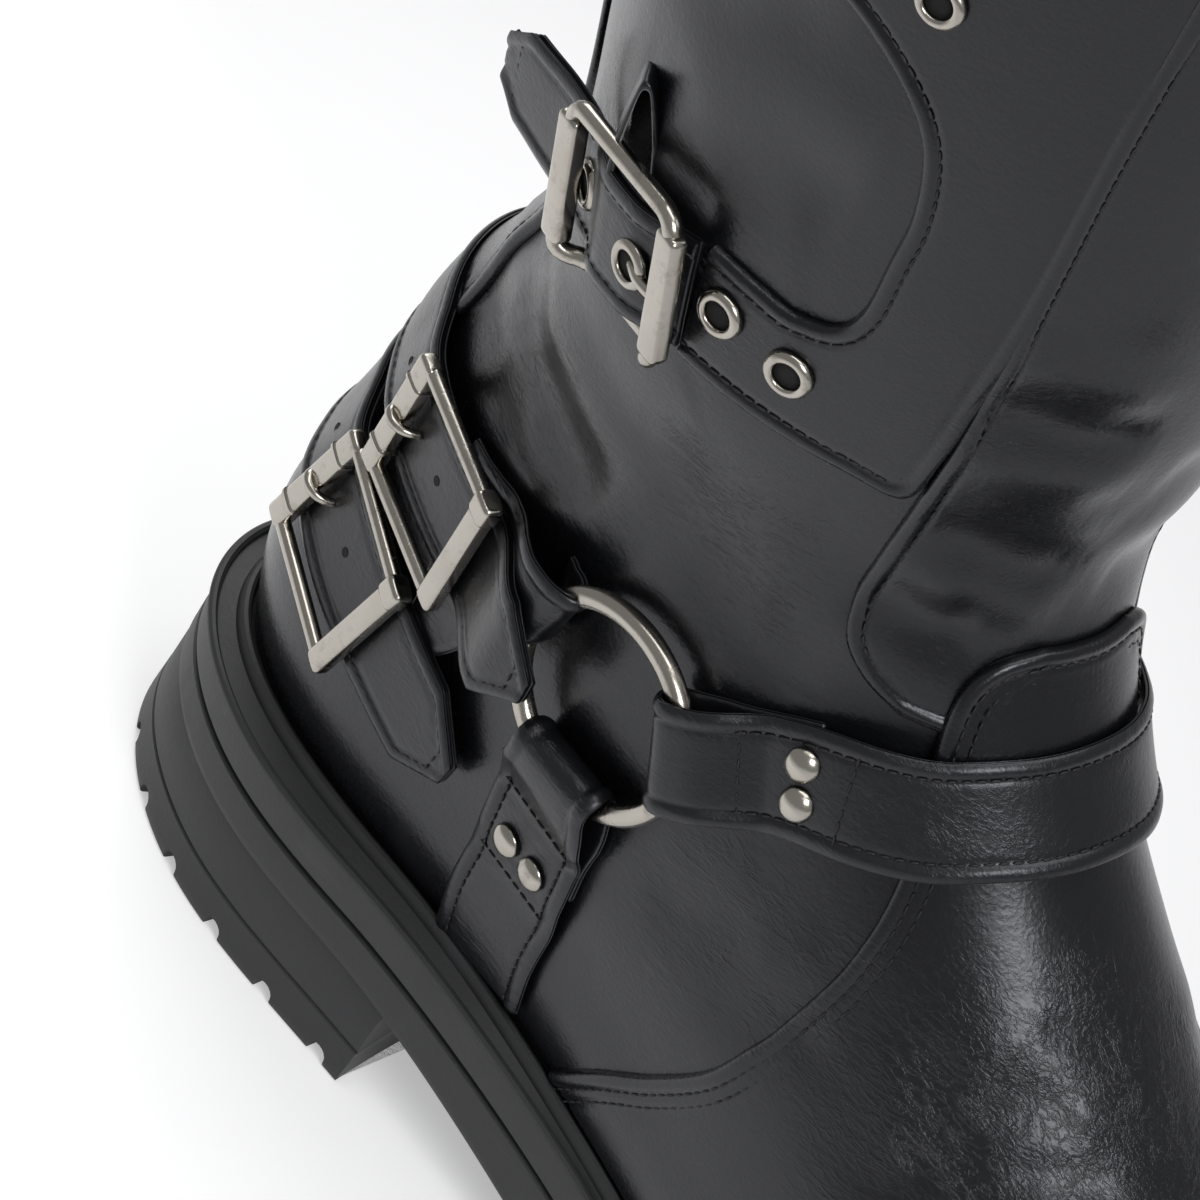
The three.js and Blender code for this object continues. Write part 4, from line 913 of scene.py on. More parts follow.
def yoke(side):
    """The piece from the ring back under both heel straps; its lower edge runs down to the lower one"""
    spots = [(47.5, 109.5), (39, 113.5), (30, 113), (18, 110.5), (5, 109)]
    route = Route([spot_at(x, z, side) for x, z in spots])
    wire = Wire(route, side, 1, 6.5)

    def upper(distance):
        return 7.2 + 0.8 * smooth((distance - wire.distance) / 12)

    def lower(distance):
        return 7.2 + 29 * smooth((distance - wire.distance - 6) / 22)

    down = [(wire.distance + ahead, UNDER + 0.8) for ahead in (18, 22, 27)]
    middle = wire.fold(2.2) + down + [(route.length, UNDER + 0.3)]
    halves = (lower, upper) if side > 0 else (upper, lower)
    return Strap(route, middle, STRAP, halves[0], None, halves[1])


# Heel straps: x and height of the tip and of the frame's two bars, height at the back, lift of the tip
HEEL_STRAPS = {
    "lower": {"tip": (31, 66), "keeper": (4, 73), "rest": (-19, 79.5), "back": 87.5, "tip_rise": 0},
    "upper": {"tip": (43, 102.5), "keeper": (16, 104), "rest": (-9, 107.3), "back": 115, "tip_rise": 7.1},
}
HEEL_STRAP_LIFT = GAP + STRAP + 0.4
HEEL_STRAP_THICK = 2
HEEL_STRAP_HALF = 10.5


def heel_strap(sizes):
    """The strap, and the distance of the frame's back bar"""
    outer = [spot_at(*sizes[name], 1) for name in ("tip", "keeper", "rest")]
    inner = [spot_at(*sizes[name], -1) for name in ("rest", "keeper")]
    back = spot_up(180, sizes["back"])
    route = Route(outer + [back] + [(2 * math.pi + angle, v) for angle, v in inner])
    rest = route.nearest(skin(*spot_at(*sizes["rest"], 1)))

    def lift(distance):
        near = np.minimum(distance - rest, route.length - 26 - distance)
        raised = sizes["tip_rise"] * (1 - smooth((distance - 8) / 18))
        return HEEL_STRAP_LIFT + raised - 1.3 * smooth((near - 4) / 12) + HEEL_STRAP_THICK / 2

    def half(distance):
        full = HEEL_STRAP_HALF + 1.6 * smooth(np.minimum(distance - rest - 4, route.length - distance) / 14)
        return np.minimum(full, 2.5 + 0.85 * np.maximum(distance, 0))

    places = np.concatenate([[0, 0.4, 1, 2, 4, 6, 9], np.linspace(12, route.length, 44)])
    return Strap(route, [(d, float(lift(d))) for d in places], HEEL_STRAP_THICK, half, lift), rest


# Route of the shaft strap's free end as degrees and heights, and where it starts to stand off the boot
SHAFT_ROUTE = [(89.9, 190), (100, 188.5), (112, 186.5), (121, 184.5), (134, 184), (147, 185)]
SHAFT_LEAVES = (120, 184.7)
SHAFT_STRAP_THICK = 2
SHAFT_SEAT = GAP + 0.2


def shaft_strap():
    """The strap's free end, and the distance of its tip"""
    route = Route([spot_up(turn, z) for turn, z in SHAFT_ROUTE])
    leave = route.nearest(skin(*spot_up(*SHAFT_LEAVES)))
    end = min(route.length, leave + 24)

    def lift(distance):
        bulge = 2.8 * smooth(distance / 11) * (1 - smooth((distance - leave + 13) / 11))
        away = 0.021 * np.maximum(distance - leave, 0) ** 2
        return SHAFT_SEAT + bulge + away + SHAFT_STRAP_THICK / 2

    def half(distance):
        return np.minimum(STRAP_HALF, 5 + 1.2 * np.maximum(end - distance, 0))

    places = np.concatenate([np.linspace(0, end - 4, 30), [end - 2, end - 1, end - 0.4, end]])
    return Strap(route, [(d, float(lift(d))) for d in places], SHAFT_STRAP_THICK, half, lift), end


# Buckles

# Frames: width of the bars, reach of the side wires, radius and bend of the wire, half thickness of the bars
HEEL_FRAME = {"bar": 4.6, "reach": 12.5, "wire": 1.4, "corner": 2.0, "thick": 1.6}
SHAFT_FRAME = {"bar": 5.2, "reach": 15.1, "wire": 1.6, "corner": 3.4, "thick": 1.75}
BUCKLE_OVER = 2.3

# The shaft frame's lower wire dips behind the strap and lies closer, and its sleeves sit a little high
LOWER_DIP = 3.9
LOWER_CLOSER = 2.6
SLEEVE_SHIFT = 1.2

# Boxes on a heel frame's bars: half length, what is added to half the bar's width, half thickness, place
KEEPER_BOX = (2.3, 0.35, 2.0, 0.7)
END_BOX = (0.9, 0.3, 1.9, 4.5)


def add_bar(body, centre, along, across, out, half_length, half_wide, half_thick):
    """A flat bar with rounded edges and rounded ends"""
    turns = np.linspace(0, 2 * math.pi, 32, endpoint=False)
    cosine = np.sign(np.cos(turns)) * np.abs(np.cos(turns)) ** 0.42
    sine = np.sign(np.sin(turns)) * np.abs(np.sin(turns)) ** 0.55
    ends = np.array([0.0, 0.06, 0.22, 0.5, 0.85, 1.2])
    pull = 0.95 * (1 - np.sqrt(1 - (1 - ends / 1.2) ** 2))
    stations = np.concatenate([ends - half_length, [0.0], (half_length - ends)[::-1]])
    pulls = np.concatenate([pull, [0.0], pull[::-1]])
    rings = []
    for station, less in zip(stations, pulls):
        wide = (half_wide - less) * cosine
        high = (half_thick - 0.8 * less) * sine
        rings.append(centre + along * station + wide[:, None] * across + high[:, None] * out)
    faces = grid_faces(len(rings), 32, around=True)
    faces.append(tuple(reversed(range(32))))
    faces.append(tuple((len(rings) - 1) * 32 + k for k in range(32)))
    return body.add(np.concatenate(rings), faces)


def frame_axes(first, second, normal):
    """Ways along a frame from bar to bar, along its bars, and out of the leather"""
    long = unit(second - first)
    wide = unit(np.cross(normal, long))
    return long, wide, unit(np.cross(long, wide))


def rounded_loop(first, second, axes, reach, corner, dip=0.0, low=0.0):
    """Path of a wire round a frame, with bent corners; its lower side may dip and lie closer"""
    long, wide, out = axes
    half = np.linalg.norm(second - first) / 2
    centre = (first + second) / 2
    path = []
    for turn, sign_l, sign_w in ((0, 1, 1), (90, -1, 1), (180, -1, -1), (270, 1, -1)):
        for step in np.linspace(0, 90, 8):
            angle = math.radians(turn + step)
            side_reach = reach - (low if sign_w < 0 else 0)
            path.append((sign_l * (half - corner) + corner * math.cos(angle),
                         sign_w * (side_reach - corner) + corner * math.sin(angle)))
        if turn in (0, 180):
            ends = (path[-1], (-sign_l * (half - corner), path[-1][1]))
            path.extend([(mix(ends[0][0], ends[1][0], t), ends[0][1]) for t in np.linspace(0.08, 0.92, 12)])
    result = []
    for along, across in path:
        under = smooth((-across - 5) / 5) * smooth((half - 0.5 - abs(along)) / 4.5)
        result.append(centre + long * along + wide * across - out * dip * under)
    return result


def buckle_frame(first, second, normal, sizes, sleeves=False):
    """A wire frame between two places with flat bars on both; the shaft buckle's bars are loose sleeves"""
    axes = frame_axes(first, second, normal)
    long, wide, out = axes
    reach, wire, half_bar = sizes["reach"], sizes["wire"], sizes["bar"] / 2
    corner, thick = sizes["corner"], sizes["thick"]
    body = Body()
    flip = 1 if wide[2] > 0 else -1
    if sleeves:
        loop = rounded_loop(first, second, (long, wide * flip, out), reach, corner, LOWER_DIP, LOWER_CLOSER)
        body.add(*tube(loop, wire, closed=True))
        for centre in (first, second):
            centre = centre + wide * flip * SLEEVE_SHIFT
            add_bar(body, centre, wide, long, out, reach - corner, half_bar, thick)
        return body, long, out
    body.add(*tube(rounded_loop(first, second, axes, reach, corner), wire, closed=True))
    for centre in (first, second):
        add_bar(body, centre, wide, long, out, reach + wire, half_bar, thick)
    for bar, sign, box in ((second, flip, KEEPER_BOX), (first, flip, END_BOX), (first, -flip, END_BOX)):
        half_long, wider, half_thick, inset = box
        centre = bar + wide * sign * (reach - inset)
        add_bar(body, centre, wide, long, out, half_long, half_bar + wider, half_thick)
    return body, long, out


def heel_buckle(sizes):
    """Frame and prong; the prong bends over the back bar's wire"""
    lift = HEEL_STRAP_LIFT + HEEL_STRAP_THICK + BUCKLE_OVER
    rest = lifted(*spot_at(*sizes["rest"], 1), lift)
    keeper = lifted(*spot_at(*sizes["keeper"], 1), lift)
    halfway = [(a + b) / 2 for a, b in zip(sizes["rest"], sizes["keeper"])]
    body, long, out = buckle_frame(rest, keeper, normal_at(*spot_at(*halfway, 1)), HEEL_FRAME)
    bend = [(-1.2, 0.6), (-0.6, 1.7), (0.6, 2.2), (2.0, 2.0), (3.2, 1.2), (4.0, 0.0), (4.5, -1.4)]
    path = smooth_path([rest + long * along + out * rise for along, rise in bend], 4)
    prong = Body().add(*tube(path, np.linspace(1.0, 0.85, len(path)), 14))
    return body, prong


# Places at the shaft buckle, as degrees and heights, and the room left for the strap's bulge
FRAME_FRONT = (91, 190)
FRAME_MIDDLE = (105, 187.5)
FRAME_BACK = (119, 185)
PRONG_HOLE = (99, 188.6)
COVERED_HOLE = (118.5, 185)
FRAME_BULGE = 1.4


def shaft_axes():
    """Both bars of the shaft buckle's frame, and the way out of the leather between them"""
    lift = SHAFT_SEAT + SHAFT_STRAP_THICK + FRAME_BULGE + BUCKLE_OVER
    bars = [lifted(*spot_up(*spot), lift) for spot in (FRAME_FRONT, FRAME_BACK)]
    return *bars, normal_at(*spot_up(*FRAME_MIDDLE))


def shaft_buckle(strap):
    """Frame and prong; the prong's tip rests in the eyelet behind the front bar"""
    front, back, normal = shaft_axes()
    body, long, out = buckle_frame(front, back, normal, SHAFT_FRAME, sleeves=True)
    pronged = strap.route.nearest(skin(*spot_up(*PRONG_HOLE)))
    tip = strap.top(np.array(pronged), 0.0, SEATED - 0.6)
    nose = front + long * 2.4 + out * 0.6
    knee = mix(nose, tip, 0.5) + out * 0.5
    path = smooth_path([front + long * 0.6 - out * 0.4, front + long * 1.4 + out * 0.4, nose, knee, tip], 5)
    prong = Body().add(*tube(path, np.linspace(1.15, 0.85, len(path)), 14))
    return body, prong


# Loose loop on the shaft buckle: its size, its turn about its own height in degrees, and its share of the way
# from the frame's back bar to the front one
KEEPER_TALL = 24
KEEPER_DEEP = 9.5
KEEPER_BAND = 8
KEEPER_WALL = 1.5
KEEPER_TURN = 38
KEEPER_SHARE = 0.36


def keeper_loop():
    """A loose teardrop loop of leather round the frame's upper wire"""
    count = 72
    turns = np.linspace(0, 2 * math.pi, count, endpoint=False)
    narrow = 1 - 0.55 * smooth((1 + np.sin(turns)) / 2)
    front, back, normal = shaft_axes()
    long = unit(back - front)
    upward = unit(np.cross(normal, long))
    upward = upward if upward[2] > 0 else -upward
    outward_way = unit(np.cross(upward, long))
    outward_way = outward_way if outward_way @ normal > 0 else -outward_way
    turned = math.radians(KEEPER_TURN)
    outward_way = math.cos(turned) * outward_way + math.sin(turned) * long
    depth = np.cross(outward_way, upward)
    hook = mix(back, front, KEEPER_SHARE) + upward * (SHAFT_FRAME["reach"] - 6.5) - unit(normal) * 4.6
    centre = hook + upward * (KEEPER_TALL / 2 - KEEPER_WALL - SHAFT_FRAME["wire"] - 1.5)

    def outline(inset):
        x = (KEEPER_DEEP / 2 - inset) * np.sign(np.cos(turns)) * np.abs(np.cos(turns)) ** 0.75 * narrow
        rise = np.sin(turns)
        y = (KEEPER_TALL / 2 - inset) * np.where(rise < 0, -np.abs(rise) ** 0.75, rise)
        return centre + x[:, None] * outward_way + y[:, None] * upward

    across = np.array([0, 0.15, 0.5, 1.0, 2.4, 4.0, 5.6, 7.0, 7.5, 7.85, KEEPER_BAND]) - KEEPER_BAND / 2
    ease = 0.42 * (1 - rounded(KEEPER_BAND / 2 - np.abs(across), 0.8))
    outer = [outline(less) + depth * place for place, less in zip(across, ease)]
    inner = [outline(KEEPER_WALL - less) + depth * place for place, less in zip(across[::-1], ease[::-1])]
    rings = np.array(outer + inner)
    faces = grid_faces(len(rings), count, around=True, over=True)
    inside = range(len(outer) * count, (len(rings) - 1) * count)
    finish = [1 if face[0] in inside else 0 for face in faces]
    return Body().add(rings, faces, finish=finish)


# Sole

def plan_point(base, angle):
    if base == "upper":
        return skin(angle, 0 * angle)
    u = (1 + np.cos(angle)) / 2
    half = np.sin(angle) * curve(STATIONS, SOLE_SHARES, u) * BALL
    y = SOLE_SWING * BALL * smooth((u - 0.35) / 0.5) - half
    return np.stack([mix(SOLE_BACK, SOLE_TIP, u), y, 0 * u], axis=-1)


def plan_outward(base, angle, offset):
    along = plan_point(base, angle + 0.002) - plan_point(base, angle - 0.002)
    outward_way = unit(np.stack([-along[..., 1], along[..., 0], 0 * along[..., 0]], axis=-1))
    return plan_point(base, angle) + outward_way * offset, outward_way


PLAN_ANGLES = np.linspace(0, 2 * math.pi, 320, endpoint=False)


def plan_ring(base, offset, height):
    points = plan_outward(base, PLAN_ANGLES, offset)[0]
    points[:, 2] = height(points[:, 0])
    return points


# Side of the sole from the upper down: offset from the upper's edge or the sole's, and drop below its top
SOLE_SIDE = {
    "upper": [
        (-2.0, 1.2), (0.5, 0.5), (0.75, -0.3), (1.1, -0.9), (1.7, -1.15), (2.35, -0.95), (2.75, -0.4),
        (3.1, 0.5), (3.15, 1.1),
    ],
    "sole": [
        (-1.95, 2.2), (-1.75, 1.6), (-1.2, 1.1), (-0.6, 1.15), (-0.1, 1.6), (0.0, 2.0), (-0.45, 2.6),
        (-0.7, 3.0), (-0.7, 5.0), (-0.7, 9.0), (-0.75, 9.6), (-1.0, 9.8), (-1.7, 9.9), (-1.7, 10.8),
        (-1.0, 11.0), (-0.6, 11.15), (-0.52, 11.7),
    ],
}
# Its lower edge: offset from the sole's edge and rise over the floor's side
SOLE_FOOT = [(-0.2, 2.2), (-0.2, 1.3), (-0.5, 0.5), (-1.2, 0.05), (-2.2, 0.0)]
# Side of the heel block from the top down: share of its height, offset, shift of its front face
HEEL_SIDE = [
    (0.86, 0.0, 0.9), (0.6, 0.45, 0.7), (0.47, 0.65, 0.6), (0.455, 0.35, 0.6), (0.435, 0.35, 0.6),
    (0.42, 0.8, 0.5), (0.3, 1.05, 0.35), (0.12, 1.45, 0.1), (0.05, 1.55, 0), (0.015, 1.35, -0.2),
    (0, 0.9, -0.6),
]
NOTCH_PITCH = 14.5
NOTCH_WIDTH = 4.4
NOTCH_HEIGHT = 3
NOTCH_DEPTH = 6
HEEL_GROOVES = (-27, 34)
FRONT_GROOVES = (122, 226)
GROOVE_INSET = 12
GROOVE_PROFILE = [(-1.6, -4), (1.6, -4), (1.2, 1.8), (-1.2, 1.8)]


def sole_platform():
    rings = [plan_ring(base, offset, lambda x, d=drop: sole_top(x) - d)
             for base, side in SOLE_SIDE.items() for offset, drop in side]
    for offset, rise in SOLE_FOOT:
        rings.append(plan_ring("sole", offset, lambda x, r=rise: platform_floor(x) + r))
    return stacked(rings)


def heel_ring(offset, height, breast):
    reach = math.acos(2 * (breast - SOLE_BACK) / (SOLE_TIP - SOLE_BACK) - 1)
    arc = plan_outward("sole", np.linspace(reach, 2 * math.pi - reach, 161), offset)[0]
    corner = {1: arc[0], -1: arc[-1]}
    middle = (arc[0][1] + arc[-1][1]) / 2

    def chord(side, t):
        return [corner[side][0] - 3.2 * (1 - t * t), mix(middle, corner[side][1], t), 0]

    steps = np.linspace(0, 1, 13)[:-1]
    points = [chord(1, t) for t in steps] + list(arc) + [chord(-1, t) for t in steps[:0:-1]]
    points = np.array(points)
    points[:, 2] = height(points[:, 0])
    return points


def sole_heel():
    levels = [(-1.8, lambda x: platform_floor(x) + 4, 1), (-0.9, lambda x: platform_floor(x) + 0.4, 1)]
    for rise, offset, breast in HEEL_SIDE:
        levels.append((offset, lambda x, r=rise: 0 * x + r * HEEL_BLOCK, breast))
    return stacked([heel_ring(offset, height, BREAST + breast) for offset, height, breast in levels])


def notch_places():
    """Places of the notches: one pitch apart round the heel and along the forefoot"""
    angles = np.linspace(0, 2 * math.pi, 2881)
    points, outward_way = plan_outward("sole", angles, 0.0)
    walked = 0.0
    found = []
    for k in range(1, len(angles) - 1):
        walked += float(np.linalg.norm(points[k] - points[k - 1]))
        on_heel = points[k][0] < BREAST - 6
        on_front = points[k][0] > 0.42 * LENGTH
        if walked < NOTCH_PITCH or not (on_heel or on_front):
            continue
        walked = 0.0
        floor = 0.0 if on_heel else float(platform_floor(points[k][0]))
        found.append((points[k], outward_way[k], floor))
    return found


def prism(profile, start, along, upward, outward_way, length):
    profile = np.asarray(profile, float)
    ring = start + profile[:, :1] * along + profile[:, 1:] * upward
    points = np.concatenate([ring, ring + outward_way * length])
    count = len(profile)
    faces = [(k, (k + 1) % count, count + (k + 1) % count, count + k) for k in range(count)]
    return points, faces + [tuple(reversed(range(count))), tuple(range(count, 2 * count))]


def tread_cutters():
    """Notches in the sole's edge and grooves across its underside"""
    body = Body()
    up = np.array([0.0, 0, 1])
    half = NOTCH_WIDTH / 2
    top = [(half * math.cos(t), 0.45 * NOTCH_HEIGHT + 0.55 * NOTCH_HEIGHT * math.sin(t))
           for t in np.linspace(0, math.pi, 9)]
    for point, outward_way, floor in notch_places():
        start = point - outward_way * NOTCH_DEPTH
        start = np.array([start[0], start[1], floor])
        body.add(*prism([(-half, -4), (half, -4)] + top, start, np.cross(up, outward_way), up, outward_way,
                        NOTCH_DEPTH + 6))
    for x in np.concatenate([np.arange(*reach, NOTCH_PITCH) for reach in (HEEL_GROOVES, FRONT_GROOVES)]):
        u = (x - SOLE_BACK) / (SOLE_TIP - SOLE_BACK)
        width = np.sin(np.arccos(2 * u - 1)) * curve(STATIONS, SOLE_SHARES, u) * BALL
        half_width = float(width) - GROOVE_INSET
        swing = SOLE_SWING * BALL * float(smooth((u - 0.35) / 0.5))
        floor = 0.0 if x < BREAST else float(platform_floor(x))
        start = np.array([x, swing - half_width, floor])
        ahead, across = np.eye(3)[:2]
        body.add(*prism(GROOVE_PROFILE, start, ahead, up, across, 2 * half_width))
    return body


# Finishes

class Value:
    """A shader socket that can be used in sums"""

    def __init__(self, finish, socket):
        self.finish = finish
        self.socket = socket

    def maths(self, operation, *inputs):
        return self.finish.node("ShaderNodeMath", {"operation": operation}, dict(enumerate(inputs)))["Value"]

    def __add__(self, other):
        return self.maths("ADD", self, other)

    __radd__ = __add__

    def __sub__(self, other):
        return self.maths("SUBTRACT", self, other)

    def __rsub__(self, other):
        return self.maths("SUBTRACT", other, self)

    def __mul__(self, other):
        return self.maths("MULTIPLY", self, other)

    __rmul__ = __mul__

    def __pow__(self, other):
        return self.maths("POWER", self, other)

    def far(self):
        return self.maths("ABSOLUTE", self)

    def between(self, low, high):
        """0 below low, 1 above high and smooth between them"""
        values = {"Value": self, "From Min": low, "From Max": high}
        settings = {"interpolation_type": "SMOOTHSTEP"}
        return self.finish.node("ShaderNodeMapRange", settings, values)["Result"]


class Outputs:
    """A node, whose outputs are found by name"""

    def __init__(self, finish, node):
        self.finish = finish
        self.made = node

    def __getitem__(self, name):
        for socket in self.made.outputs:
            if socket.name == name and socket.enabled:
                return Value(self.finish, socket)
        raise KeyError(name)


class Finish:
    """A procedural material under one name"""

    def __init__(self, name):
        self.material = bpy.data.materials.new(name)
        self.material.use_nodes = True
        self.tree = self.material.node_tree
        self.shader = self.tree.nodes["Principled BSDF"]
        self.place = self.node("ShaderNodeTexCoord")["Object"]

    def node(self, kind, settings=None, values=None):
        node = self.tree.nodes.new(kind)
        for name, value in (settings or {}).items():
            setattr(node, name, value)
        for name, value in (values or {}).items():
            socket = node.inputs[name]
            if not isinstance(name, int):
                socket = next(s for s in node.inputs if s.name == name and s.enabled)
            self.feed(socket, value)
        return Outputs(self, node)

    def feed(self, socket, value):
        if isinstance(value, Value):
            self.tree.links.new(value.socket, socket)
        else:
            socket.default_value = value

    def set(self, **values):
        for name, value in values.items():
            self.feed(self.shader.inputs[name.replace("_", " ").title().replace("Ior", "IOR")], value)

    def stretched(self, scale, turn=(0, 0, 0)):
        values = {"Vector": self.place, "Scale": scale, "Rotation": turn}
        return self.node("ShaderNodeMapping", None, values)["Vector"]

    def noise(self, scale, detail=2, rough=0.5, twist=0.0, place=None):
        values = {"Vector": place or self.place, "Scale": scale, "Detail": detail, "Roughness": rough,
                  "Distortion": twist}
        return self.node("ShaderNodeTexNoise", None, values)["Fac"]

    def cells(self, scale):
        return self.node("ShaderNodeTexVoronoi", None, {"Vector": self.place, "Scale": scale})["Distance"]

    def blend(self, share, first, second):
        values = {"Factor": share, "A": first, "B": second}
        return self.node("ShaderNodeMix", {"data_type": "RGBA"}, values)["Result"]

    def attribute(self, name):
        return self.node("ShaderNodeAttribute", {"attribute_name": name})["Fac"]

    def raised(self, height, distance, strength=1.0, below=None):
        values = {"Height": height, "Distance": distance, "Strength": strength}
        if below is not None:
            values["Normal"] = below
        return self.node("ShaderNodeBump", None, values)["Normal"]


def shade(colour, factor):
    return tuple(min(1.0, part * factor) for part in colour) + (1.0,)


def leather_finish(name, colour, gloss, crinkles):
    finish = Finish(name)
    flex = finish.attribute("crinkle")
    broad = finish.noise(14, 3)
    cloud = finish.noise(55, 4, 0.6)
    pores = finish.cells(1150)
    pebble = finish.noise(780, 3, 0.6)
    lines = finish.noise(240, 4, 0.6, 0.5, finish.stretched((0.3, 1.1, 1.2), (0.5, 0.75, 0.2)))
    ridge = (1 - (lines - 0.5).far() * 2) ** 14
    finer = finish.noise(620, 3, 0.6, 0.4, finish.stretched((0.35, 1.0, 1.2), (0.3, 0.6, 0.5)))
    fine_ridge = (1 - (finer - 0.5).far() * 2) ** 9
    patchy = finish.noise(75, 3).between(0.42, 0.62)
    worn = (cloud * 0.6 + broad * 0.5).between(0.56, 0.78)
    speck = finish.noise(2600, 2).between(0.72, 0.8) * finish.noise(230, 2).between(0.6, 0.72)
    base = finish.blend(worn * 0.55, shade(colour, 0.85), shade(colour, 1.45))
    base = finish.blend(speck * 0.35, base, shade(colour, 7.0))
    finish.set(
        base_color=base,
        roughness=gloss + 0.09 * worn + 0.07 * (pebble - 0.5) + 0.05 * flex,
        coat_weight=0.08,
        coat_roughness=0.2,
        specular_ior_level=0.44,
        specular_tint=(0.93, 0.94, 1.0, 1.0),
    )
    height = 0.5 * pebble + 0.35 * pores
    normal = finish.raised(height, 0.00011, 0.55)
    crossed = ridge * flex * patchy + 0.35 * fine_ridge * (0.12 + flex)
    normal = finish.raised(crossed, crinkles, 0.8, normal)
    soft = finish.noise(26) + 0.35 * finish.noise(70)
    finish.set(normal=finish.raised(soft, 0.0009, 0.35, normal))


def make_finishes():
    colours = bpy.context.scene.boot_colours
    leather_finish("boot_leather", colours.leather, 0.27, 0.00024)
    leather_finish("strap_leather", colours.strap, 0.3, 0.0002)

    lining = Finish("boot_lining")
    weave = lining.noise(900, 2) * 0.5 + lining.noise(90, 3) * 0.5
    lining.set(base_color=lining.blend(weave.between(0.35, 0.65), shade(colours.lining, 0.8),
                                       shade(colours.lining, 1.15)),
               roughness=0.78 + 0.1 * weave)
    lining.set(normal=lining.raised(weave, 0.0002, 0.5))

    rubber = Finish("sole_rubber")
    dust = rubber.noise(38, 5, 0.65).between(0.5, 0.78)
    fine = rubber.noise(1500, 2)
    scuffs = rubber.noise(120, 3, 0.6, 0.4, rubber.stretched((0.25, 1.0, 1.6))).between(0.62, 0.75)
    base = rubber.blend(dust * 0.5, shade(colours.rubber, 0.85), shade(colours.rubber, 1.5))
    base = rubber.blend(scuffs * 0.3, base, shade(colours.rubber, 2.6))
    rubber.set(base_color=base, roughness=0.5 + 0.14 * dust + 0.08 * fine)
    rubber.set(normal=rubber.raised(fine + 0.6 * rubber.noise(420, 3), 0.00009, 0.6))

    metal = Finish("aged_nickel")
    tarnish = metal.noise(240, 5, 0.65).between(0.52, 0.76)
    patch = metal.noise(90, 3).between(0.45, 0.7)
    brushed = metal.noise(700, 3, 0.6, 0, metal.stretched((0.12, 1.0, 1.0), (0.3, 0.6, 0.9)))
    scratch = metal.noise(900, 2, 0.5, 0, metal.stretched((1.0, 0.08, 0.8), (0.7, 0.2, 0.4)))
    scratch = scratch.between(0.62, 0.7)
    base = metal.blend(tarnish * 0.6, shade(colours.metal, 1.05), shade(colours.metal, 0.5))
    base = metal.blend(patch * 0.35, base, (0.33, 0.30, 0.26, 1))
    metal.set(base_color=base, metallic=1.0,
              roughness=0.2 + 0.14 * tarnish + 0.1 * (brushed - 0.5) + 0.08 * scratch)
    metal.set(normal=metal.raised(brushed + 0.5 * scratch + 0.5 * tarnish, 0.00005, 0.22))

    thread = Finish("sewing_thread")
    strands = thread.noise(2400, 2)
    thread.set(base_color=thread.blend(strands.between(0.4, 0.65), shade(colours.thread, 0.8),
                                       shade(colours.thread, 2.2)),
               roughness=0.5 + 0.15 * strands)
    thread.set(normal=thread.raised(strands, 0.0001, 0.5))

    # Painted shade: near-black finish for discs that stand in for the shade inside holes
    dark = Finish("hole_shadow")
    dark.set(base_color=dark.blend(dark.noise(500, 2), (0.0015, 0.0015, 0.0016, 1), (0.004, 0.004, 0.004, 1)),
             roughness=0.8 + 0.1 * dark.noise(300, 2))


# Geometry Nodes

class Tree:
    """A geometry node tree with named inputs"""

    def __init__(self, name, sockets):
        self.tree = bpy.data.node_groups.new(name, "GeometryNodeTree")
        face = self.tree.interface
        face.new_socket(name="Geometry", in_out="OUTPUT", socket_type="NodeSocketGeometry")
        face.new_socket(name="Geometry", in_out="INPUT", socket_type="NodeSocketGeometry")
        for label, kind in sockets:
            face.new_socket(name=label, in_out="INPUT", socket_type=kind)
        self.given = self.tree.nodes.new("NodeGroupInput")
        self.result = self.tree.nodes.new("NodeGroupOutput")

    def node(self, kind, settings=None, values=None):
        node = self.tree.nodes.new(kind)
        for name, value in (settings or {}).items():
            setattr(node, name, value)
        for name, value in (values or {}).items():
            socket = node.inputs[name]
            if hasattr(value, "links"):
                self.tree.links.new(value, socket)
            else:
                socket.default_value = value
        return node

    def finish(self, instances):
        realized = self.node("GeometryNodeRealizeInstances", None, {"Geometry": instances})
        shaded = self.node("GeometryNodeSetShadeSmooth", None, {"Geometry": realized.outputs[0]})
        painted = self.node("GeometryNodeSetMaterial", None, {
            "Geometry": shaded.outputs[0], "Material": self.given.outputs["Finish"]})
        self.tree.links.new(painted.outputs[0], self.result.inputs[0])

    def run(self, carrier, name, values):
        """Puts the tree on an object and gives back its result as a plain mesh object"""
        modifier = carrier.modifiers.new("nodes", "NODES")
        modifier.node_group = self.tree
        for item in self.tree.interface.items_tree:
            if item.in_out == "INPUT" and item.name in values:
                modifier[item.identifier] = values[item.name]
        bpy.context.view_layer.update()
        view = carrier.evaluated_get(bpy.context.evaluated_depsgraph_get())
        mesh = bpy.data.meshes.new_from_object(view)
        mesh.name = name
        bpy.data.objects.remove(carrier)
        return linked(name, mesh)


STITCH_VARIES = (0.86, 1.1)


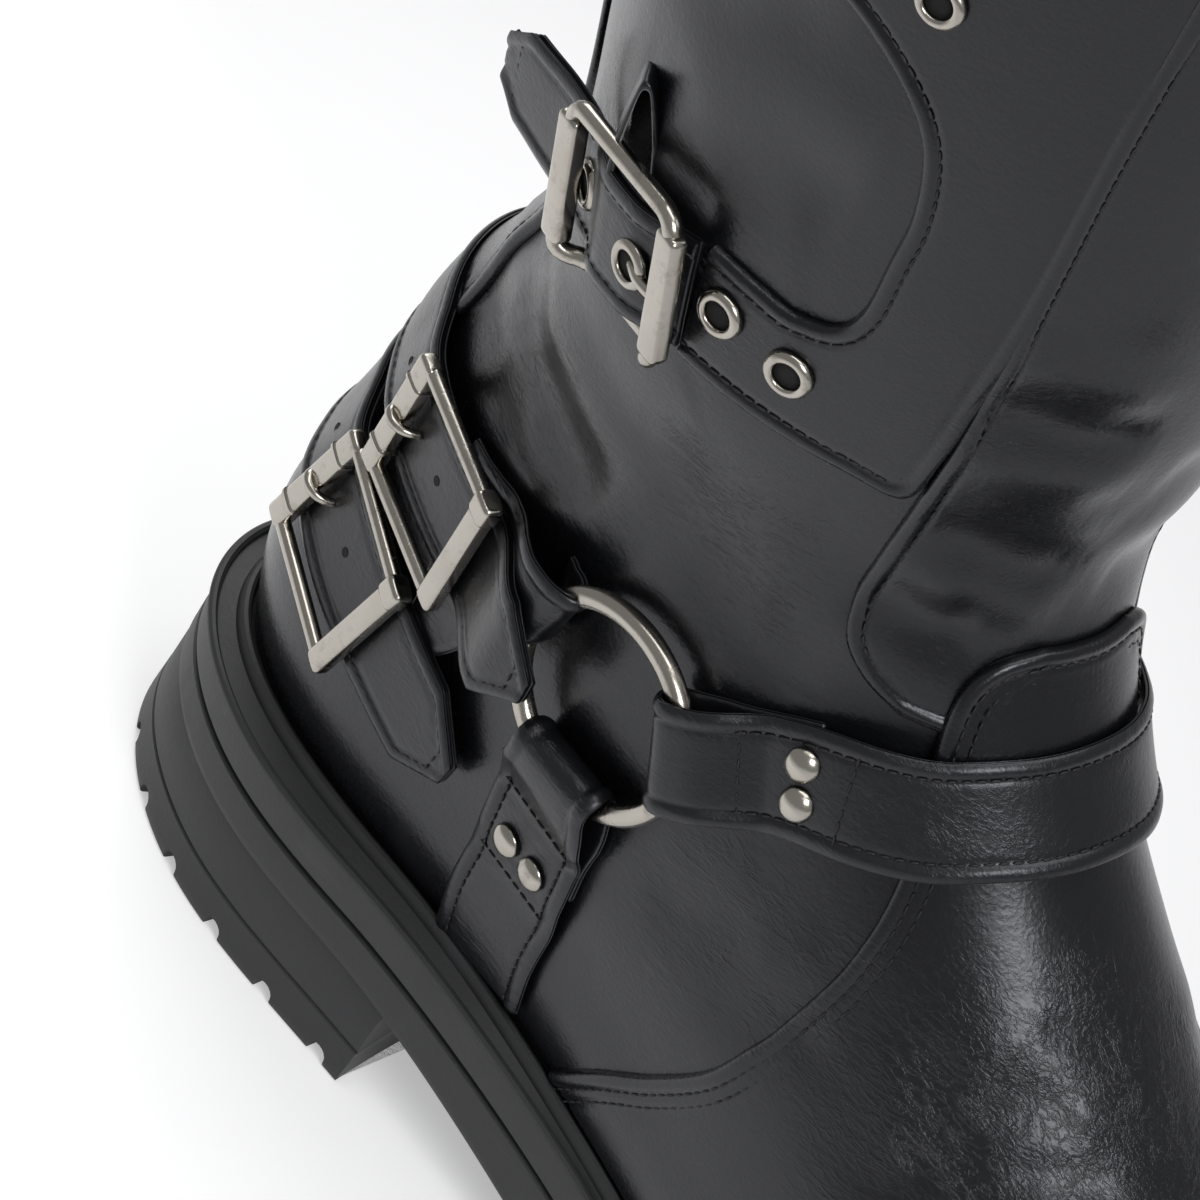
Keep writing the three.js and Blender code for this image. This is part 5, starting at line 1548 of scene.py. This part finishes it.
def stitch_tree():
    tree = Tree("boot_stitches", [
        ("Pitch", "NodeSocketFloat"), ("Stitch", "NodeSocketFloat"), ("Thread", "NodeSocketFloat"),
        ("Finish", "NodeSocketMaterial"),
    ])
    given = tree.given.outputs
    line = tree.node("GeometryNodeMeshToCurve", None, {"Mesh": given["Geometry"]})
    dots = tree.node("GeometryNodeResampleCurve", {"mode": "LENGTH"}, {
        "Curve": line.outputs[0], "Length": given["Pitch"]})
    ball = tree.node("GeometryNodeMeshUVSphere", None, {"Segments": 7, "Rings": 5, "Radius": 0.5})
    size = tree.node("ShaderNodeCombineXYZ", None, {
        "X": given["Stitch"], "Y": given["Thread"], "Z": given["Thread"]})
    stitch = tree.node("GeometryNodeTransform", None, {"Geometry": ball.outputs[0], "Scale": size.outputs[0]})
    along = tree.node("GeometryNodeInputTangent")
    turn = tree.node("FunctionNodeAlignRotationToVector", {"axis": "X"}, {"Vector": along.outputs[0]})
    vary = tree.node("FunctionNodeRandomValue", {"data_type": "FLOAT"}, {"Seed": 5})
    for k, value in zip((2, 3), STITCH_VARIES):
        vary.inputs[k].default_value = value
    placed = tree.node("GeometryNodeInstanceOnPoints", None, {
        "Points": dots.outputs[0], "Instance": stitch.outputs[0], "Rotation": turn.outputs[0],
        "Scale": vary.outputs[1]})
    tree.finish(placed.outputs[0])
    return tree


def sew(name, lines):
    """Stitches along lines of points in millimetres"""
    sizes = bpy.context.scene.boot_sizes
    points = []
    edges = []
    for line in lines:
        first = len(points)
        points.extend((np.asarray(line) * MM).tolist())
        edges.extend([(first + k, first + k + 1) for k in range(len(line) - 1)])
    mesh = bpy.data.meshes.new(name + "_path")
    mesh.from_pydata(points, edges, [])
    return stitch_tree().run(linked(name + "_path", mesh), name, {
        "Pitch": sizes.stitch_pitch, "Stitch": sizes.stitch_length, "Thread": sizes.thread,
        "Finish": bpy.data.materials["sewing_thread"]})


def stamp(name, shape, places, finish):
    """One shape set on each place, which holds a point, a normal and a size"""
    tree = Tree("boot_" + name, [("Shape", "NodeSocketObject"), ("Finish", "NodeSocketMaterial")])
    given = tree.given.outputs
    source = tree.node("GeometryNodeObjectInfo", None, {"Object": given["Shape"]})
    turn = tree.node("GeometryNodeInputNamedAttribute", {"data_type": "FLOAT_VECTOR"}, {"Name": "turn"})
    size = tree.node("GeometryNodeInputNamedAttribute", {"data_type": "FLOAT"}, {"Name": "size"})
    rotation = tree.node("FunctionNodeEulerToRotation", None, {"Euler": turn.outputs[0]})
    placed = tree.node("GeometryNodeInstanceOnPoints", None, {
        "Points": given["Geometry"], "Instance": source.outputs["Geometry"], "Rotation": rotation.outputs[0],
        "Scale": size.outputs[0]})
    tree.finish(placed.outputs[0])
    part = Body().add(*shape).make(name + "_shape", finish)
    mesh = bpy.data.meshes.new(name + "_places")
    mesh.from_pydata([(np.asarray(point) * MM).tolist() for point, normal, scale in places], [], [])
    turns = [Vector(normal).to_track_quat("Z", "Y").to_euler()[:] for point, normal, scale in places]
    mesh.attributes.new("turn", "FLOAT_VECTOR", "POINT").data.foreach_set("vector", np.ravel(turns))
    sizes = [scale for point, normal, scale in places]
    mesh.attributes.new("size", "FLOAT", "POINT").data.foreach_set("value", sizes)
    carrier = linked(name + "_places", mesh)
    piece = tree.run(carrier, name, {"Shape": part, "Finish": bpy.data.materials[finish]})
    bpy.data.objects.remove(part)
    return piece


def settle(piece, slot, *nodes):
    """Puts a finished piece on the boot, and says which nodes it stands for; the slot is not used"""
    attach(piece, "root")
    if nodes:
        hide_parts(*nodes)


# Pieces

UPPER_COLUMNS = 256
UPPER_ROWS = 216
LINING_ROWS = 70

# Seam below the collar on the bare leather: degrees it runs between, rows below the top, millimetres over it
COLLAR_SEAMS = ((50, 146), (214, 330))
COLLAR_SEAM_DROP = 0.22
COLLAR_SEAM_OVER = 0.14


class BOOT_OT_upper(bpy.types.Operator):
    """Upper with its lining, and the insole"""
    bl_idname = "boot.upper"
    bl_label = "Upper and lining"

    def execute(self, context):
        columns = UPPER_COLUMNS
        angles = np.linspace(0, 2 * math.pi, columns, endpoint=False)
        angle, v = np.meshgrid(angles, np.linspace(0, TOP_ROW, UPPER_ROWS))
        outer, marks = dressed(angle, v, 0 * v)
        rim = []
        for turn in np.radians([25, 60, 90, 120, 155]):
            lift = -WALL / 2 + (WALL / 2 + 0.1) * math.cos(turn)
            ring = lifted(angles, np.full(columns, float(TOP_ROW)), np.full(columns, lift))
            ring[:, 2] += 1.1 * math.sin(turn)
            rim.append(ring)
        angle, v = np.meshgrid(angles, np.linspace(TOP_ROW, 0, LINING_ROWS))
        base = skin(angle, v)
        inner = base + tangents(angle, v)[2] * (0.8 * relief(base) - WALL)[..., None]
        rings = np.concatenate([outer, np.array(rim), inner])
        faces = grid_faces(len(rings), columns, around=True, over=True)
        inside = range((len(outer) + len(rim) - 1) * columns, (len(rings) - 1) * columns)
        finish = [1 if face[0] in inside else 0 for face in faces]
        blank = np.zeros(rings.shape[:2])
        blank[:len(outer)] = marks
        shell = Body().add(rings, faces, blank, finish).make("upper_shell", "boot_leather", "boot_lining")
        settle(shell, "leather", "upper")
        inset = -(WALL + 1.1)
        levels = [(0.0, 0.0), (0.0, 2.2), (-0.3, 2.7), (-0.9, 2.9), (-4.0, 2.75), (-9.0, 2.4), (-16.0, 2.3)]
        bed = [plan_ring("upper", inset + less, lambda x, r=rise: sole_top(x) + r) for less, rise in levels]
        sole = Body().add(*stacked(bed)).make("footbed", "boot_lining", sharp=40)
        settle(sole, "lining", "insole")
        return {"FINISHED"}


class BOOT_OT_panels(bpy.types.Operator):
    """Vamp, front panel, side panel and back stay, with their stitches"""
    bl_idname = "boot.panels"
    bl_label = "Panels"

    def execute(self, context):
        fold = context.scene.boot_sizes.fold_width / MM
        vamp = vamp_panel()
        front = front_panel()
        outer = side_panel()
        stay = back_stay()
        for name, panel, rows, columns, node in (
                ("vamp_leather", vamp, 110, 130, "vamp_overlay"),
                ("front_leather", front, 120, 60, "front_panel"),
                ("side_leather", outer, 150, 14, "side_panel"),
                ("stay_leather", stay, 110, 16, "back_stay")):
            settle(panel.body(rows, columns).make(name, "boot_leather"), "leather", node)
        seams = (
            (vamp, "start", 0, 1), (vamp, "end", 0, 1), (vamp, "top", 0.04, 0.96),
            (front, "start", 0, 1), (front, "end", 0, 1), (front, "bottom", 0.05, 0.95),
            (front, "top", 0.04, 0.96), (outer, "start", 0.02, 1), (outer, "end", 0, 0.22),
            (outer, "end", 0.74, 1), (stay, "start", 0, 1), (stay, "end", 0, 1),
        )
        lines = [panel.stitch_line(side, fold + SECOND_LINE * line, (first, last))
                 for panel, side, first, last in seams for line in range(panel.lines)]
        for first, last in COLLAR_SEAMS:
            angle = np.radians(np.linspace(first, last, 200))
            level = np.full(200, TOP_ROW - COLLAR_SEAM_DROP)
            lines.append(dressed(angle, level, np.full(200, COLLAR_SEAM_OVER))[0])
        settle(sew("panel_stitches", lines), "strap")
        return {"FINISHED"}


class BOOT_OT_sole(bpy.types.Operator):
    """Rubber sole with its bead, ridge, groove, notches and tread"""
    bl_idname = "boot.sole"
    bl_label = "Sole"

    def execute(self, context):
        cutters = tread_cutters().make("tread_cutters", "sole_rubber")
        body = Body()
        kept = []
        for name, shape in (("platform", sole_platform()), ("heel", sole_heel())):
            part = Body().add(*shape).make(name, "sole_rubber")
            modifier = part.modifiers.new("tread", "BOOLEAN")
            modifier.operation = "DIFFERENCE"
            modifier.solver = "MANIFOLD"
            modifier.object = cutters
            bpy.context.view_layer.update()
            mesh = bpy.data.meshes.new_from_object(part.evaluated_get(context.evaluated_depsgraph_get()))
            points = np.array([vertex.co[:] for vertex in mesh.vertices]) / MM
            body.add(points, [tuple(face.vertices) for face in mesh.polygons])
            kept.append(part)
        for part in kept + [cutters]:
            bpy.data.objects.remove(part)
        settle(body.make("rubber_sole", "sole_rubber", sharp=28), "rubber", "outsole")
        return {"FINISHED"}


# Distances from a ring's wire along the instep strap and the sole straps: box stitch, rivets and their offset
INSTEP_BOX = (11, 28)
INSTEP_RIVETS = 20.5
INSTEP_RIVET_ACROSS = 3.4
SOLE_BOX = (13, 30)
SOLE_RIVETS = 23
SOLE_RIVET_ACROSS = 3.6


class BOOT_OT_harness(bpy.types.Operator):
    """Instep strap, sole straps, yokes and the two rings"""
    bl_idname = "boot.harness"
    bl_label = "Harness"

    def execute(self, context):
        lines = []
        rivets = []
        instep, first, last = instep_strap()
        settle(instep.body().make("instep_leather", "strap_leather"), "strap", "instep_strap")
        lines += instep.along(first + INSTEP_BOX[0], last - INSTEP_BOX[0])
        for box in INSTEP_BOX:
            lines += [instep.across(first + box), instep.across(last - box)]
        nodes = []
        for at, label in ((first + INSTEP_RIVETS, "outer"), (last - INSTEP_RIVETS, "inner")):
            for k, across in enumerate((-INSTEP_RIVET_ACROSS, INSTEP_RIVET_ACROSS)):
                rivets.append(instep.place(at, across, SEATED))
                nodes.append(f"instep_{label}_rivet_{k + 1}")
        turns = np.linspace(0, 2 * math.pi, 96, endpoint=False)
        for label, side in (("outer", 1), ("inner", -1)):
            strap, start = sole_strap(side)
            piece = strap.body().make(f"sole_leather_{label}", "strap_leather")
            settle(piece, "strap", f"sole_strap_{label}")
            lines += strap.along(start + SOLE_BOX[0], strap.route.length - 1)
            lines += [strap.across(start + box) for box in SOLE_BOX]
            for k, across in enumerate((-SOLE_RIVET_ACROSS, SOLE_RIVET_ACROSS)):
                rivets.append(strap.place(start + SOLE_RIVETS, across, SEATED))
                nodes.append(f"sole_{label}_rivet_{k + 1}")
            piece = yoke(side).body().make(f"yoke_leather_{label}", "strap_leather")
            settle(piece, "strap", f"yoke_{label}")
            centre, ahead, upward, normal = ring_frame(side)
            path = centre + RING_RADIUS * (np.cos(turns)[:, None] * ahead + np.sin(turns)[:, None] * upward)
            piece = Body().add(*tube(path, RING_WIRE, 24, closed=True)).make(f"o_ring_{label}", "aged_nickel")
            settle(piece, "metal", f"ring_{label}")
        dome = [(RIVET, 0), (RIVET, 0.32), (0.94 * RIVET, 0.58), (0.8 * RIVET, 1.0), (0.57 * RIVET, 1.38),
                (0.3 * RIVET, 1.62), (0.06 * RIVET, 1.7)]
        settle(stamp("harness_rivets", lathe(dome, 36), rivets, "aged_nickel"), "metal", *nodes)
        settle(sew("harness_stitches", lines), "strap")
        return {"FINISHED"}


# Stitches and holes of the heel straps: from the edge, from the tip, and behind and ahead of the back bar
HEEL_INSET = 2.5
HEEL_FIRST = 3.4
HEEL_HOLES = (-9.5, 12.5)
SHAFT_INSET = 2.6


class BOOT_OT_heel_straps(bpy.types.Operator):
    """Two heel straps with their buckles, and near-black discs painted as the shade in their punched holes"""
    bl_idname = "boot.heel_straps"
    bl_label = "Heel straps"

    def execute(self, context):
        lines = []
        hole_shadow_places = []
        hole = context.scene.boot_sizes.hole / MM
        for label, sizes in HEEL_STRAPS.items():
            strap, rest = heel_strap(sizes)
            piece = strap.body(layers=2).make(f"heel_leather_{label}", "strap_leather")
            settle(piece, "strap", f"heel_strap_{label}")
            lines += strap.along(HEEL_FIRST + 0.2, strap.route.length - 2, HEEL_INSET)
            lines.append(strap.across(HEEL_FIRST, HEEL_INSET))
            hole_shadow_places += [strap.place(rest - along, 0.0, 0.05, hole) for along in HEEL_HOLES]
            frame_body, prong = heel_buckle(sizes)
            piece = frame_body.make(f"heel_frame_{label}", "aged_nickel", sharp=50)
            settle(piece, "metal", f"heel_buckle_{label}_frame")
            piece = prong.make(f"heel_prong_{label}", "aged_nickel")
            settle(piece, "metal", f"heel_buckle_{label}_prong")
        settle(sew("heel_stitches", lines), "strap")
        # Painted shade: a near-black disc on each punched hole stands in for the shade inside it
        hole_shadow_disc = lathe([(1.12, -0.25), (1.12, 0.0), (1.0, 0.06), (0.9, 0.02), (0.5, 0.0)], 16)
        settle(stamp("strap_holes", hole_shadow_disc, hole_shadow_places, "hole_shadow"), "strap")
        return {"FINISHED"}


# Eyelets of the side panel, as degrees and heights
EYELETS = [(71, 191), (84, 192), (73, 266.5)]


class BOOT_OT_shaft_buckle(bpy.types.Operator):
    """Free end of the shaft strap, its buckle, keeper and eyelets"""
    bl_idname = "boot.shaft_buckle"
    bl_label = "Shaft buckle"

    def execute(self, context):
        strap, end = shaft_strap()
        settle(strap.body(layers=2).make("shaft_leather", "strap_leather"), "strap", "shaft_strap_tip")
        lines = strap.along(1, end - 3.5, SHAFT_INSET) + [strap.across(end - 3, SHAFT_INSET)]
        settle(sew("shaft_stitches", lines), "strap")
        frame_body, prong = shaft_buckle(strap)
        settle(frame_body.make("shaft_frame", "aged_nickel", sharp=50), "metal", "shaft_buckle_frame")
        settle(prong.make("shaft_prong", "aged_nickel"), "metal", "shaft_buckle_prong")
        piece = keeper_loop().make("keeper_leather", "strap_leather", "boot_lining", sharp=50)
        settle(piece, "strap", "keeper_loop")
        places = []
        for turn, z in EYELETS:
            spot = spot_up(turn, z)
            places.append((lifted(*spot, OVERLAY + SEATED + 0.2), normal_at(*spot), 1.0))
        for hole in (PRONG_HOLE, COVERED_HOLE):
            places.append(strap.place(strap.route.nearest(skin(*spot_up(*hole))), 0.0, 0.1))
        profile = [
            (EYELET_HOLE, -0.4), (EYELET_HOLE, 0.5), (EYELET_HOLE + 0.15, 0.85), (EYELET_HOLE + 0.5, 1.02),
            (EYELET_HOLE + 1.05, 0.98), (EYELET - 0.25, 0.62), (EYELET, 0.2), (EYELET, -0.4),
            (EYELET_HOLE, -0.4),
        ]
        nodes = [f"eyelet_{k + 1}" for k in range(5)]
        settle(stamp("strap_eyelets", lathe(profile, 40), places, "aged_nickel"), "metal", *nodes)
        # Painted shade: a near-black disc in each eyelet stands in for the shade inside its hole
        hole_shadow_disc = lathe([(EYELET_HOLE + 0.1, -0.3), (EYELET_HOLE + 0.1, 0.1), (0.8, 0.06)], 24)
        settle(stamp("eyelet_holes", hole_shadow_disc, places, "hole_shadow"), "strap")
        return {"FINISHED"}


# Camera in millimetres, its roll in degrees and its lens
CAMERA_PLACE = (446.61, -755.57, 820.41)
CAMERA_TARGET = (-3.39, 39.81, 42.67)
CAMERA_ROLL = 28.4
CAMERA_LENS = 207
SENSOR_WIDTH = 36

# Lamps and the place they point at in metres, with the size and the power of each lamp
LAMPS = {
    "top_light": ((0.05, 0.1, 1.8), 1.5, 20),
    "front_light": ((1.0, -0.52, 1.0), 0.55, 9),
    "back_light": ((-1.1, 0.7, 1.1), 0.9, 8),
}
LAMP_TARGET = (0.06, 0, 0.12)
SKY_STRENGTH = 0.34

# Floor in metres: how far it reaches, and the painted pool of light on it, a glow that stands in for lamp
# light and fades between two distances from a point
FLOOR_REACH = 6
FLOOR_STEPS = 97
PAINTED_POOL_GLOW = 0.42
PAINTED_POOL_CENTRE = (-0.1, -0.12)
PAINTED_POOL_FULL = 0.16
PAINTED_POOL_FADE = 0.3


class BOOT_OT_stage(bpy.types.Operator):
    """Camera, floor with a painted pool of light, and soft light"""
    bl_idname = "boot.stage"
    bl_label = "Stage"

    def execute(self, context):
        scene = context.scene
        place = np.array(CAMERA_PLACE)
        back = unit(place - np.array(CAMERA_TARGET))
        right = unit(np.cross(-back, [0, 0, 1.0]))
        up = np.cross(right, -back)
        roll = math.radians(CAMERA_ROLL)
        across = math.cos(roll) * right + math.sin(roll) * up
        upward = -math.sin(roll) * right + math.cos(roll) * up
        lens = bpy.data.cameras.new("camera")
        lens.lens = CAMERA_LENS
        lens.sensor_width = SENSOR_WIDTH
        lens.clip_start = 0.01
        camera = linked("camera", lens)
        turned = Matrix((across, upward, back)).transposed().to_4x4()
        camera.matrix_world = Matrix.Translation(place * MM) @ turned
        scene.camera = camera

        floor = Finish("pale_floor")
        tint = scene.boot_colours.floor
        # Painted light: the floor glows in a pool round one point, a pool of lamp light painted on it
        painted_pool_glow = floor.blend(floor.attribute("painted_light_pool"), (0, 0, 0, 1), (1, 1, 1, 1))
        floor.set(base_color=floor.blend(floor.noise(3), shade(tint, 0.99), shade(tint, 1.01)),
                  roughness=0.7, emission_color=painted_pool_glow, emission_strength=PAINTED_POOL_GLOW)
        floor.material.cycles.emission_sampling = "NONE"
        spread = FLOOR_REACH * np.linspace(-1, 1, FLOOR_STEPS) ** 3
        x, y = np.meshgrid(spread, spread)
        mesh = bpy.data.meshes.new("floor")
        points = np.stack([x, y, 0 * x], axis=-1).reshape(-1, 3)
        mesh.from_pydata(points.tolist(), [], grid_faces(FLOOR_STEPS, FLOOR_STEPS))
        # Painted light: strength of the painted pool of light at each point of the floor
        painted_light_pool = 1 - smooth((np.hypot(x - PAINTED_POOL_CENTRE[0], y - PAINTED_POOL_CENTRE[1]) - PAINTED_POOL_FULL) / PAINTED_POOL_FADE)
        mesh.attributes.new("painted_light_pool", "FLOAT", "POINT").data.foreach_set("value", painted_light_pool.ravel())
        mesh.materials.append(floor.material)
        ground = linked("floor", mesh)

        world = bpy.data.worlds.new("studio")
        world.use_nodes = True
        sky = world.node_tree.nodes["Background"]
        sky.inputs["Color"].default_value = (1, 1, 1, 1)
        sky.inputs["Strength"].default_value = SKY_STRENGTH
        scene.world = world
        scene.view_settings.view_transform = "Standard"
        for name, (spot, size, power) in LAMPS.items():
            light = bpy.data.lights.new(name, "AREA")
            light.size = size
            light.energy = power
            lamp = linked(name, light)
            lamp.location = spot
            lamp.rotation_euler = (Vector(spot) - Vector(LAMP_TARGET)).to_track_quat("Z", "Y").to_euler()
        return {"FINISHED"}


class BOOT_PT_panel(bpy.types.Panel):
    """Sizes, colours and steps of the boot"""
    bl_idname = "BOOT_PT_panel"
    bl_label = "Boot"
    bl_space_type = "VIEW_3D"
    bl_region_type = "UI"
    bl_category = "Boot"

    def draw(self, context):
        for group in (context.scene.boot_sizes, context.scene.boot_colours):
            for name in group.__annotations__:
                self.layout.prop(group, name)
        for step in STEPS:
            self.layout.operator(step.bl_idname)


STEPS = (
    BOOT_OT_stage, BOOT_OT_upper, BOOT_OT_panels, BOOT_OT_sole, BOOT_OT_harness, BOOT_OT_heel_straps,
    BOOT_OT_shaft_buckle,
)
CLASSES = (BootSizes, BootColours) + STEPS + (BOOT_PT_panel,)


def register():
    for cls in CLASSES:
        bpy.utils.register_class(cls)
    bpy.types.Scene.boot_sizes = bpy.props.PointerProperty(type=BootSizes)
    bpy.types.Scene.boot_colours = bpy.props.PointerProperty(type=BootColours)


def unregister():
    del bpy.types.Scene.boot_colours
    del bpy.types.Scene.boot_sizes
    for cls in reversed(CLASSES):
        bpy.utils.unregister_class(cls)


def main():
    register()
    make_finishes()
    for step in STEPS:
        area, name = step.bl_idname.split(".")
        getattr(getattr(bpy.ops, area), name)()


if __name__ == "__main__":
    main()
